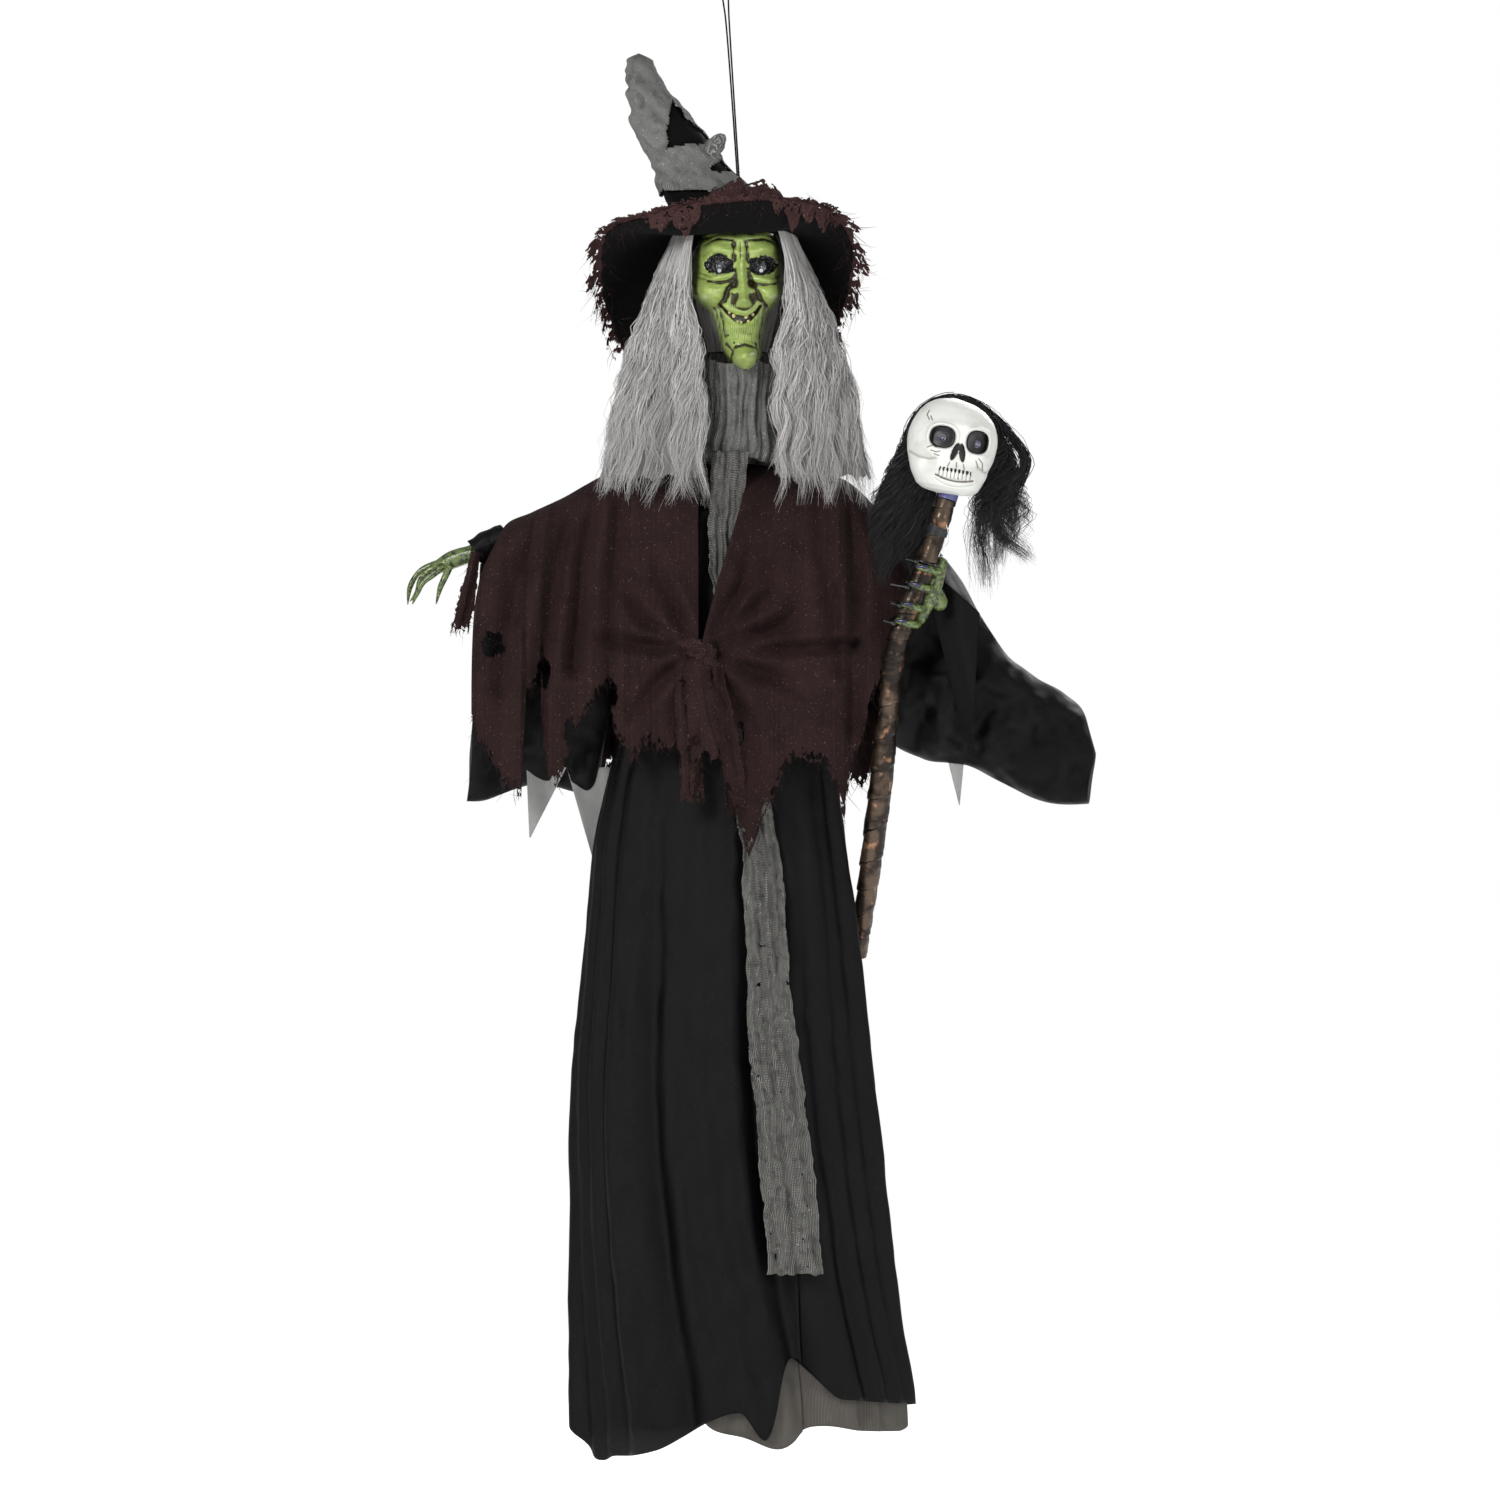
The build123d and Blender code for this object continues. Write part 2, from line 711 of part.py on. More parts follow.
def gown_solid(inset, extra=0.0):
    """The gown's outside, or its inside when inset by the cloth."""
    spread = gown_hem_half_w - gown_top_half_w
    sections = []
    for share, widening in gown_shares:
        z = gown_top - share * gown_len
        past = extra if share == 1.0 else (-extra if share == 0.0 else 0.0)
        half_w = gown_top_half_w + widening * spread - inset
        sections.append((z - past, gown_x, 0, half_w, gown_half_depth(z) - inset))
    return ellipse_loft(sections, ruled=True)


gown_outer = gown_solid(0)
gown_inner = gown_solid(cloth, extra=1.0)
with BuildPart() as gown_shell:
    add(gown_outer)
    add(gown_inner, mode=Mode.SUBTRACT)
with BuildPart() as gown_front:
    add(gown_shell.part)
    split(bisect_by=Plane.XZ, keep=Keep.TOP)
write(gown_front, "gown_front")
with BuildPart() as gown_back:
    add(gown_shell.part)
    split(bisect_by=Plane.XZ, keep=Keep.BOTTOM)
write(gown_back, "gown_back")

tabard_top = gown_top - 2.0
tabard_low = tabard_top - tabard_len
with BuildPart() as tabard:
    with BuildSketch(Plane.YZ.offset(axis_x - 46)):
        with BuildLine():
            Polyline(
                (-gown_half_depth(tabard_top) - body_gap, tabard_top),
                (-gown_half_depth(tabard_low) - body_gap, tabard_low),
                (-gown_half_depth(tabard_low) - body_gap - cloth, tabard_low),
                (-gown_half_depth(tabard_top) - body_gap - cloth, tabard_top),
                close=True,
            )
        make_face()
    extrude(amount=150)
    with BuildSketch(Plane.XZ):
        with BuildLine():
            Polyline(
                (axis_x - 46, tabard_top),
                (axis_x + 20, tabard_top),
                (axis_x + 104, tabard_low),
                (axis_x + 32, tabard_low),
                close=True,
            )
        make_face()
    extrude(amount=300, mode=Mode.INTERSECT)
write(tabard, "tabard")

scarf_top = head_bottom - 6.0
scarf_wall = 6.0
with BuildPart() as neck_scarf:
    add(ring_solid((axis_x, 0), scarf_r - scarf_wall, scarf_r, scarf_top - scarf_len, scarf_top))
    fillet(neck_scarf.edges().group_by(Axis.Z)[0], radius=2.0)
write(neck_scarf, "neck_scarf")

# ------------------------------------------------------------------ cape
centre_half = shoulder_half - 2.0
side_start = shoulder_half + 34.0
cape_reach = 700.0


def cape_depth(inset):
    """The cape's front to back wedge, wide at the hem."""
    top, low = cape_top_half_d - inset, cape_bottom_half_d - inset
    with BuildPart() as piece:
        with BuildSketch(Plane.YZ.offset(-cape_reach)):
            with BuildLine():
                Polyline((-top, cape_top), (top, cape_top), (low, cape_bottom), (-low, cape_bottom), close=True)
            make_face()
        extrude(amount=2 * cape_reach)
    return piece.part


def tent(roof, rest):
    """Cloth over a roof line with a front and a back fall, open at its sides and hem."""
    outer = slab(roof + rest, -cape_bottom_half_d, cape_bottom_half_d)
    (first_x, first_z), (last_x, last_z) = roof[0], roof[-1]
    way = 60 if last_x > first_x else -60
    under = [(first_x - way, first_z - cloth)]
    under += [(x, z - cloth) for x, z in roof]
    under += [(last_x + way, last_z - cloth), (last_x + way, cape_bottom - 50), (first_x - way, cape_bottom - 50)]
    inner = slab(under, -cape_bottom_half_d, cape_bottom_half_d)
    outside, inside = cape_depth(0), cape_depth(cloth)
    with BuildPart() as hollow:
        add(inner)
        add(inside, mode=Mode.INTERSECT)
    with BuildPart() as piece:
        add(outer)
        add(outside, mode=Mode.INTERSECT)
        add(hollow.part, mode=Mode.SUBTRACT)
    return piece


neck_half = scarf_r + 3.0
opening_low = cape_top - 246.0
neck_cut = ring_solid((axis_x, 0), 0, neck_half, cape_top - 30, cape_top + 10)
opening_cut = slab(
    [(axis_x - 46, cape_top + 10), (axis_x + 20, cape_top + 10), (axis_x + 14, cape_top - 30),
     (axis_x - 22, opening_low), (axis_x - 34, opening_low)],
    -cape_bottom_half_d - 10, 0,
)
knot_x = axis_x - 28.0
knot_y = -(cape_top_half_d + (cape_top - opening_low) * (cape_bottom_half_d - cape_top_half_d) / cape_len)
cape_middle = tent(
    [(axis_x - centre_half, cape_top - 12), (axis_x - neck_half, cape_top),
     (axis_x + neck_half, cape_top), (axis_x + centre_half, cape_top - 12)],
    [(axis_x + centre_half, cape_bottom + 20), (axis_x + 55, cape_bottom),
     (axis_x, cape_bottom + 30), (axis_x - 30, cape_bottom + 2), (axis_x - centre_half, cape_bottom + 60)],
)
knot_r = 13.0
with BuildPart() as cape_centre:
    add(cape_middle.part)
    add([neck_cut, opening_cut], mode=Mode.SUBTRACT)
    with Locations((knot_x, knot_y + 4, opening_low - 6)):
        Sphere(knot_r)
    with BuildSketch(Plane(origin=(knot_x, 0, opening_low - 30))):
        with Locations((0, knot_y + cloth + 12)):
            Rectangle(60, 24)
    extrude(amount=60, mode=Mode.SUBTRACT)
write(cape_centre, "cape_centre")

right_side = axis_x - side_start
left_side = axis_x + side_start
cape_right = tent(
    [(right_side, cape_top - 15), (right_side - 52, cape_top - 22), (right_side - 162, cape_top - 80),
     (right_side - 204, cape_top - 112)],
    [(right_side - 226, cape_top - 228), (right_side - 228, cape_top - 318), (right_side - 196, cape_bottom),
     (right_side - 96, cape_bottom + 50), (right_side - 36, cape_bottom + 66), (right_side, cape_top - 168)],
)
write(cape_right, "cape_right")
cape_left = tent(
    [(left_side, cape_top - 15), (left_side + 44, cape_top - 23), (left_side + 66, cape_top - 68)],
    [(left_side + 76, cape_top - 128), (left_side + 55, cape_top - 218), (left_side + 40, cape_top - 318),
     (left_side + 32, cape_bottom + 42), (left_side, cape_bottom + 20)],
)
write(cape_left, "cape_left")


# ------------------------------------------------------------------ sleeves
def sleeve(outline, front, back, arm_holes):
    """A flat cloth bag round an arm, open at its hem, with holes where the arm passes through it."""
    outer = slab(outline, front, back)
    with BuildPart() as room:
        with BuildSketch(Plane.XZ.offset(-(back - cloth))):
            with BuildLine():
                Polyline(*outline, close=True)
            make_face()
            offset(amount=-cloth)
        extrude(amount=back - front - 2 * cloth)
    with BuildPart() as piece:
        add(outer)
        add([room.part, room.part.moved(Location((0, 0, -3 * cloth)))], mode=Mode.SUBTRACT)
        add(arm_holes, mode=Mode.SUBTRACT)
    return piece


wrist = (right_pivot[0] - 235.0, 0.0, shoulder_z - 88.0)
right_root = (right_pivot[0], beam_back + 0.3 + lug_t / 2, shoulder_z)
left_root = (left_pivot[0], beam_back + 0.3 + lug_t / 2, shoulder_z)
elbow = (left_pivot[0] + 215.0, 28.0, shoulder_z - 178.0)
left_wrist = (left_pivot[0] + 166.0, -50.0, shoulder_z - 132.0)


def arm_from(root, spots):
    """A padded arm with a flat lug round its shoulder bolt."""
    bars = [rod_between(a, b, arm_r) for a, b in zip([root] + spots, spots)]
    with BuildPart() as piece:
        add(bars)
        for spot in spots[:-1]:
            with Locations(spot):
                Sphere(arm_r)
        with BuildSketch(Plane.XZ.offset(-(beam_back + 0.3 + lug_t))):
            with Locations((root[0], root[2])):
                Circle(lug_r)
        extrude(amount=lug_t)
        with BuildSketch(Plane.XZ.offset(-(beam_back + 0.3))):
            with Locations((root[0], root[2])):
                Circle(lug_r + 3)
        extrude(amount=40, mode=Mode.SUBTRACT)
        with BuildSketch(Plane.XZ.offset(-(lug_back + 40))):
            with Locations((root[0], root[2])):
                Circle(lug_r + 3)
        extrude(amount=40, mode=Mode.SUBTRACT)
        with BuildSketch(Plane.XZ.offset(-60)):
            with Locations((root[0], root[2])):
                Circle(pivot_r + fit_gap)
        extrude(amount=100, mode=Mode.SUBTRACT)
    return piece


right_arm = arm_from(right_root, [wrist])
write(right_arm, "right_arm_bar")
left_arm = arm_from(left_root, [elbow, left_wrist])
write(left_arm, "left_arm_bar")

right_holes = [rod_between(right_root, (wrist[0] - 40, wrist[1], wrist[2] - 14), arm_r + 5)]
right_outline = [
    (right_pivot[0] - 42, shoulder_z + 2), (right_pivot[0] - 165, shoulder_z - 42),
    (wrist[0] - 10, wrist[2] + 9), (wrist[0] - 17, wrist[2] - 10), (wrist[0] - 17, wrist[2] - 140),
    (wrist[0] - 30, wrist[2] - 225), (wrist[0] - 30, wrist[2] - 315), (wrist[0] + 40, wrist[2] - 300),
    (wrist[0] + 140, wrist[2] - 300), (wrist[0] + 155, wrist[2] - 140), (right_pivot[0] - 42, shoulder_z - 88),
]
right_sleeve = sleeve(right_outline, -20, 48, right_holes)
write(right_sleeve, "right_sleeve")

left_holes = [rod_between(left_root, elbow, arm_r + 4), rod_between(elbow, left_wrist, arm_r + 4)]
left_outline = [
    (left_pivot[0] + 40, shoulder_z + 4), (left_pivot[0] + 98, shoulder_z - 36),
    (left_pivot[0] + 182, shoulder_z - 82), (elbow[0] + 32, elbow[2] - 14), (elbow[0] + 84, elbow[2] - 66),
    (elbow[0] + 130, elbow[2] - 92), (elbow[0] + 156, elbow[2] - 170), (elbow[0] + 149, elbow[2] - 226),
    (elbow[0] + 110, elbow[2] - 226), (elbow[0] + 32, elbow[2] - 196), (elbow[0] - 80, elbow[2] - 165),
    (elbow[0] - 90, elbow[2] - 60), (left_pivot[0] + 60, shoulder_z - 100),
]
left_sleeve = sleeve(left_outline, -14, 56, left_holes)
write(left_sleeve, "left_sleeve")

# ------------------------------------------------------------------ staff, skull and the hand that holds it
staff_top = (left_pivot[0] + 176.0, -97.0, shoulder_z - 17.0)
staff_bend = (left_pivot[0] + 108.0, -72.0, shoulder_z - 208.0)
staff_low = shoulder_z - 603.0
staff_foot = (left_pivot[0] + 51.0 + staff_r, gown_half_depth(staff_low) - 36.3, staff_low)
staff_way = Vector(*staff_bend) - Vector(*staff_top)


def on_staff(drop):
    """The point of the staff's straight upper run that is drop below its top."""
    return Vector(*staff_top) + staff_way * (drop / -staff_way.Z)


with BuildPart() as staff:
    with BuildLine():
        FilletPolyline(staff_top, staff_bend, staff_foot, radius=160)
    with BuildSketch(Plane(origin=staff_top, z_dir=staff_way)):
        Circle(staff_r)
        Circle(staff_r - staff_wall, mode=Mode.SUBTRACT)
    sweep()
write(staff, "staff")


def staff_plane(drop):
    """A plane square to the upper staff, its x axis pointing to the palm."""
    return Plane(origin=on_staff(drop), x_dir=(1.0, 0.35, -0.3), z_dir=-staff_way)


def staff_ring(drop, inner_r, outer_r, height):
    """A ring round the upper staff."""
    with BuildPart() as piece:
        with BuildSketch(staff_plane(drop)):
            Circle(outer_r)
            Circle(inner_r, mode=Mode.SUBTRACT)
        extrude(amount=height)
    return piece.part


band_drop = 33.0
band_h = 8.0
with BuildPart() as staff_band:
    add(staff_ring(band_drop, staff_r, staff_r + 0.8, band_h))
write(staff_band, "staff_band")

grip_drop = 108.0
grip_half = 42.0
finger_r = 5.5
finger_path_r = staff_r + 0.4 + finger_r
finger_drops = [grip_drop + k * 22.0 for k in (-1.5, -0.5, 0.5, 1.5)]
tie_drops = [drop + 11.0 for drop in finger_drops]
tie_t = 1.3
tie_w = 3.6
tie_reach = 44.0
finger_arcs = []
for drop in finger_drops:
    with BuildPart() as arc:
        with BuildSketch(Plane(origin=staff_plane(drop).origin, x_dir=staff_plane(drop).x_dir,
                               z_dir=staff_plane(drop).y_dir)):
            with Locations((finger_path_r, 0)):
                Circle(finger_r)
        revolve(axis=Axis(staff_plane(drop).origin, staff_plane(drop).z_dir), revolution_arc=-215)
    finger_arcs.append(arc.part)
tie_rings = [staff_ring(drop, staff_r + 0.1, staff_r + 0.1 + tie_t, tie_w) for drop in tie_drops]
tie_room = [staff_ring(drop + 0.4, 0.0001, staff_r + 0.5 + tie_t, tie_w + 0.8) for drop in tie_drops]
staff_room = rod_between(on_staff(grip_drop - 90), on_staff(grip_drop + 90), staff_r + 0.4)
with BuildPart() as left_hand:
    with BuildSketch(staff_plane(grip_drop + grip_half)):
        with Locations((staff_r + 12, 4)):
            RectangleRounded(24, 34, 8)
    extrude(amount=2 * grip_half)
    add(finger_arcs)
    add([staff_room] + tie_room, mode=Mode.SUBTRACT)
    add(left_arm.part, mode=Mode.SUBTRACT)
write(left_hand, "left_hand")

with BuildPart() as cable_ties:
    add(tie_rings)
    for drop in tie_drops:
        with BuildSketch(staff_plane(drop)):
            with Locations((0, -staff_r - 3)):
                Rectangle(6, 6)
            with Locations((-tie_reach / 2, -staff_r - 3.6)):
                Rectangle(tie_reach, 1.2)
        extrude(amount=tie_w)
    add(staff_room, mode=Mode.SUBTRACT)
write(cable_ties, "cable_ties")

skull_at = Vector(*staff_top) + Vector(6, 0, skull_h / 2 + 4)
skull_shares = [
    (0.0, 0.0, 0.30, 0.30), (0.08, 0.0, 0.62, 0.62), (0.28, 0.0, 0.95, 0.95), (0.48, 0.0, 1.0, 1.0),
    (0.68, -2.0, 0.90, 0.86), (0.86, -6.0, 0.66, 0.66), (1.0, -8.0, 0.48, 0.5),
]


def skull_solid(growth):
    """The skull's outer form about its own centre, grown all round and leaned over."""
    sections = [
        (skull_h / 2 + growth - share * (skull_h + 2 * growth), 0, y,
         wide * skull_w / 2 + growth, deep * skull_d / 2 + growth)
        for share, y, wide, deep in skull_shares
    ]
    return ellipse_loft(sections).moved(Location(tuple(skull_at), (0, skull_roll, 0)))


skull_outer = skull_solid(0)
skull_inner = skull_solid(-shell_wall)
socket_spacing = 18.0
socket_drop = -8.0
socket_spots = []
for side in (-1, 1):
    lean = radians(skull_roll)
    across, up = side * socket_spacing, socket_drop
    spot = (skull_at.X + across * cos(lean) + up * sin(lean), skull_at.Y - skull_d / 2,
            skull_at.Z - across * sin(lean) + up * cos(lean))
    socket_spots.append(spot)
socket_bars = [rod_between((x, y - 20, z), (x, y + 30, z), 9.0) for x, y, z in socket_spots]
staff_cap = rod_between(on_staff(-20), on_staff(60), staff_r + 0.2)
with BuildPart() as skull_shell:
    add(skull_outer)
    add(skull_inner, mode=Mode.SUBTRACT)
    add(socket_bars + [staff_cap], mode=Mode.SUBTRACT)
skull_plane = Plane.XZ.offset(-skull_at.Y)
with BuildPart() as skull_front:
    add(skull_shell.part)
    split(bisect_by=skull_plane, keep=Keep.TOP)
write(skull_front, "skull_front")
with BuildPart() as skull_back:
    add(skull_shell.part)
    split(bisect_by=skull_plane, keep=Keep.BOTTOM)
write(skull_back, "skull_back")
with BuildPart() as skull_leds:
    for x, y, z in socket_spots:
        with BuildSketch(Plane(origin=(x, y + 20, z), z_dir=(0, -1, 0))):
            Circle(9.0 - 0.2)
        extrude(amount=3)
        with BuildSketch(Plane(origin=(x, y + 20, z), z_dir=(0, -1, 0))):
            Circle(led_r)
        extrude(amount=9)
write(skull_leds, "skull_leds")

hair_front = skull_at.Y + 34.0
hair_back = hair_front + 30.0
skull_room = skull_solid(body_gap)
hair_slab = slab(
    [(skull_at.X - 46, skull_at.Z + 66), (skull_at.X + 44, skull_at.Z + 66), (skull_at.X + 88, skull_at.Z + 10),
     (skull_at.X + 100, skull_at.Z - 120), (skull_at.X + 50, skull_at.Z - 158), (skull_at.X - 4, skull_at.Z - 130),
     (skull_at.X - 60, skull_at.Z - 130), (skull_at.X - 92, skull_at.Z - 50), (skull_at.X - 88, skull_at.Z + 14)],
    hair_front, hair_back,
)
with BuildPart() as skull_hair:
    add(hair_slab)
    add(skull_room, mode=Mode.SUBTRACT)
write(skull_hair, "skull_hair")

lead_start = on_staff(band_drop - band_h / 2) + Vector(10.4, -10.4, 0)
lead_end = on_staff(finger_drops[0] - 6) + Vector(14, -17.5, 0)
lead_points = [
    tuple(lead_start),
    tuple(lead_start + Vector(3, -3, -10)),
    tuple(lead_start + Vector(1.5, -5, -26)),
    tuple(lead_end + Vector(6, -4, 14)),
    tuple(lead_end),
]
lead_tube = tube_along(lead_points, 0.6)
with BuildPart() as skull_lead:
    add(lead_tube)
write(skull_lead, "skull_lead")

# ------------------------------------------------------------------ right hand
palm_end = (wrist[0] - 46, wrist[1] - 4, wrist[2] - 16)
claws = [  # run of each finger from the palm's end: (x, y, z) steps
    [(-2, 6, 2), (-24, 10, 0), (-52, 12, -16), (-61, 12, -42)],
    [(-2, 0, -1), (-26, 0, -3), (-46, 0, -18), (-52, 0, -44)],
    [(-2, -7, -4), (-22, -9, -8), (-40, -10, -24), (-48, -10, -46)],
    [(4, -12, -6), (-8, -16, -16), (-14, -18, -30), (-17, -18, -48)],
]
claw_r = 4.2
claw_bars = []
for steps in claws:
    spots = [tuple(Vector(*palm_end) + Vector(*step)) for step in steps]
    claw_bars += [rod_between(a, b, claw_r - 0.6 * k) for k, (a, b) in enumerate(zip(spots, spots[1:]))]
with BuildPart() as right_hand:
    with BuildSketch(Plane(origin=wrist, z_dir=Vector(*wrist) - Vector(*right_root))):
        Circle(arm_r)
    with BuildSketch(Plane(origin=palm_end, z_dir=Vector(*palm_end) - Vector(*wrist))):
        Ellipse(15, 10)
    loft()
    for steps in claws:
        with Locations(*[tuple(Vector(*palm_end) + Vector(*step)) for step in steps[:-1]]):
            Sphere(claw_r)
    add(claw_bars)
write(right_hand, "right_hand")

# ------------------------------------------------------------------ wig
wig_sections = [  # (height, centre y, half width, half depth)
    (head_top - 10, 8, 50, 64),
    (head_top - 50, 8, 74, 86),
    (head_top - 120, 6, 116, 92),
    (head_bottom, 4, 134, 94),
    (lock_cut + 32, 2, 146, 96),
    (lock_cut, 0, 150, 98),
]
wig_outer = ellipse_loft([(z, axis_x, y, half_w, half_d) for z, y, half_w, half_d in wig_sections])
head_room = head_solid(body_gap)
neck_room = ring_solid((axis_x, 0), 0, scarf_r + 2, lock_cut - 10, head_bottom + 40)
upper_face = slab(
    [(axis_x - 58, head_bottom + 20), (axis_x + 58, head_bottom + 20),
     (axis_x + 58, head_top + 20), (axis_x - 58, head_top + 20)], -200, -12)
lower_face = slab(
    [(axis_x - 49, lock_cut - 10), (axis_x + 49, lock_cut - 10),
     (axis_x + 49, head_bottom + 20), (axis_x - 49, head_bottom + 20)], -200, 0)
with BuildPart() as wig_crown:
    add(wig_outer)
    add([head_room, neck_room, upper_face, lower_face], mode=Mode.SUBTRACT)
write(wig_crown, "wig_crown")

lock_front = cape_top_half_d + 10.0
lock_t = 22.0
locks = [
    slab([(axis_x + side * 49, lock_cut - 0.5), (axis_x + side * 148, lock_cut - 0.5),
          (axis_x + side * 160, lock_end + 20), (axis_x + side * 150, lock_end), (axis_x + side * 60, lock_end)],
         -lock_front - lock_t, -lock_front)
    for side in (-1, 1)
]
locks.append(
    slab([(axis_x - 120, lock_cut - 0.5), (axis_x + 120, lock_cut - 0.5),
          (axis_x + 130, lock_end), (axis_x - 130, lock_end)], lock_front, lock_front + lock_t))
with BuildPart() as wig_locks:
    add(locks)
write(wig_locks, "wig_locks")

# ------------------------------------------------------------------ hat
hat_x = axis_x - 13.0
brim_top = head_top + 16.0
brim_low = head_top - 150.0


def brim_profile(grow):
    """Front view of the drooping brim's outside, grown by the given amount, as an outline."""
    side = brim_half_w + grow
    return [(hat_x - side + 10, brim_low), (hat_x - side, brim_top - 70), (hat_x - side + 40, brim_top + grow),
            (hat_x + side - 40, brim_top + grow), (hat_x + side, brim_top - 70), (hat_x + side - 10, brim_low)]


def brim_arch(outer_grow, inner_grow, plan_grow, hole_grow):
    """An arched, tilted sheet over the head, cut to the brim's plan with a hole for the crown."""
    lift = (0, -1, brim_rise)
    run = 2.4 * brim_half_d
    start = Plane.XZ.offset(-run / 2 - 6)
    shift = -brim_rise * run / 2
    solids = []
    for grow in (outer_grow, inner_grow):
        with BuildPart() as arch:
            with BuildSketch(start) as front_view:
                with BuildLine():
                    Polyline(*[(x, z + shift) for x, z in brim_profile(grow)], close=True)
                make_face()
                fillet(front_view.vertices().group_by(Axis.Y)[-1], radius=30)
            extrude(amount=run, dir=lift)
        solids.append(arch.part)
    with BuildPart() as below:
        add(solids[1])
        add(solids[1].moved(Location((0, 0, -120))))
    with BuildPart() as piece:
        add(solids[0])
        add(below.part, mode=Mode.SUBTRACT)
        with BuildSketch(Plane.XY.offset(brim_low - 100)):
            with Locations((hat_x, 6)):
                Ellipse(brim_half_w + 12 + plan_grow, brim_half_d + plan_grow)
        extrude(amount=400, mode=Mode.INTERSECT)
        with BuildSketch(Plane.XY.offset(brim_low - 100)):
            with Locations((hat_x, 6)):
                if hole_grow is None:
                    Circle(crown_r)
                else:
                    Ellipse(brim_half_w - hole_grow, brim_half_d - hole_grow)
        extrude(amount=400, mode=Mode.SUBTRACT)
    return piece


hat_brim = brim_arch(0, -brim_t, 0, None)
write(hat_brim, "hat_brim")
hat_rags = brim_arch(3.2, 0.2, 2, 55)
write(hat_rags, "hat_rags")

cone_base = brim_top + 4.0
cone_sections = [  # (height, sideways lean, radius) from the base of the cone
    (0, 0, crown_r - 1.0),
    (40, -12, 52),
    (92, -36, 37),
    (152, -78, 23),
    (206, -106, 11),
]


def cone_solid(growth, from_z):
    """The bent cone grown all round."""
    sections = [(cone_base + up, hat_x + lean, 6, r + growth, r + growth) for up, lean, r in cone_sections]
    grown = ellipse_loft(sections)
    cut = ring_solid((hat_x, 0), 0, 400, from_z - 300, from_z)
    with BuildPart() as piece:
        add(grown)
        add(cut, mode=Mode.SUBTRACT)
    return piece.part


cord_hole_r = 9.0
cord_hole = ring_solid((axis_x, 0), 0, cord_hole_r, cone_base - 20, 0)
cone_outer = cone_solid(0, cone_base - 1)
cone_inner = cone_solid(-2.0, cone_base - 1)
below_tip = ring_solid((hat_x, 0), 0, 400, cone_base - 5, cone_base + 200)
with BuildPart() as cone_room:
    add(cone_inner)
    add(below_tip, mode=Mode.INTERSECT)
with BuildPart() as hat_cone:
    add(cone_outer)
    add([cone_room.part, cord_hole], mode=Mode.SUBTRACT)
write(hat_cone, "hat_cone")

cone_skin = cone_solid(3.0, cone_base + 30)
cone_skin_inner = cone_solid(0.2, cone_base - 1)
with BuildPart() as hat_gauze:
    add(cone_skin)
    add([cone_skin_inner, cord_hole], mode=Mode.SUBTRACT)
write(hat_gauze, "hat_gauze")
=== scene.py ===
"""The looks of the hanging witch figure: cloth, hair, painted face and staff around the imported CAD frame."""

import json
import math

import bpy
import numpy as np
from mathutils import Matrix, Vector


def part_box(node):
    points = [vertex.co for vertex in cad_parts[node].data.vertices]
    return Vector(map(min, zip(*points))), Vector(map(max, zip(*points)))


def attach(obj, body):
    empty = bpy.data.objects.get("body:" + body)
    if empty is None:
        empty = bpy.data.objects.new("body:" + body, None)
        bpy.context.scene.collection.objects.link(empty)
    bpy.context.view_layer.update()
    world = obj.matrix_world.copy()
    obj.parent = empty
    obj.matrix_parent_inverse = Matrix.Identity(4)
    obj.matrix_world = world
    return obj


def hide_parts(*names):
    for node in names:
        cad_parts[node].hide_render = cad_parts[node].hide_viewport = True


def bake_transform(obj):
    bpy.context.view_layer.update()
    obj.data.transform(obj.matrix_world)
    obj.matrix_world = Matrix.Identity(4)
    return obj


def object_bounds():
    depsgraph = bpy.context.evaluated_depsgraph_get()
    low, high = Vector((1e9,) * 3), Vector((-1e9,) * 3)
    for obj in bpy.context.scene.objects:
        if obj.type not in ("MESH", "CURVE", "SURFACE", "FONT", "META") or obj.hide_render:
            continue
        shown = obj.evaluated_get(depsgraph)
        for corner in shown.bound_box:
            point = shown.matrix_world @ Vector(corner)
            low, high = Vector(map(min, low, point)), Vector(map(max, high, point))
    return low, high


MM = 0.001
PI = math.pi

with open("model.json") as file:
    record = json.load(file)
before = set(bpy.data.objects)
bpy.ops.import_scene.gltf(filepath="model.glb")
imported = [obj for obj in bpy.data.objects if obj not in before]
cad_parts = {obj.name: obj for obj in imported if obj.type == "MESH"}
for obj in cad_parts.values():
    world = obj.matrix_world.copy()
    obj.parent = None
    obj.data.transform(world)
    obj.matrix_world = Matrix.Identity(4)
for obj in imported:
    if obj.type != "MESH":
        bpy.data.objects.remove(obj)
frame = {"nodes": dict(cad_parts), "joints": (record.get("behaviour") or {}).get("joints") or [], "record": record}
cad_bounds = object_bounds()
random = np.random.default_rng(12)


# ------------------------------------------------------------------ numbers and meshes
def node_box(name):
    """Low and high corners of a CAD node in millimetres."""
    low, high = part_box(name)
    return np.array(low) / MM, np.array(high) / MM


def joint_spot(name):
    """A joint's place in millimetres."""
    return next(np.array(j["pos_m"]) / MM for j in frame["joints"] if j["name"] == name)


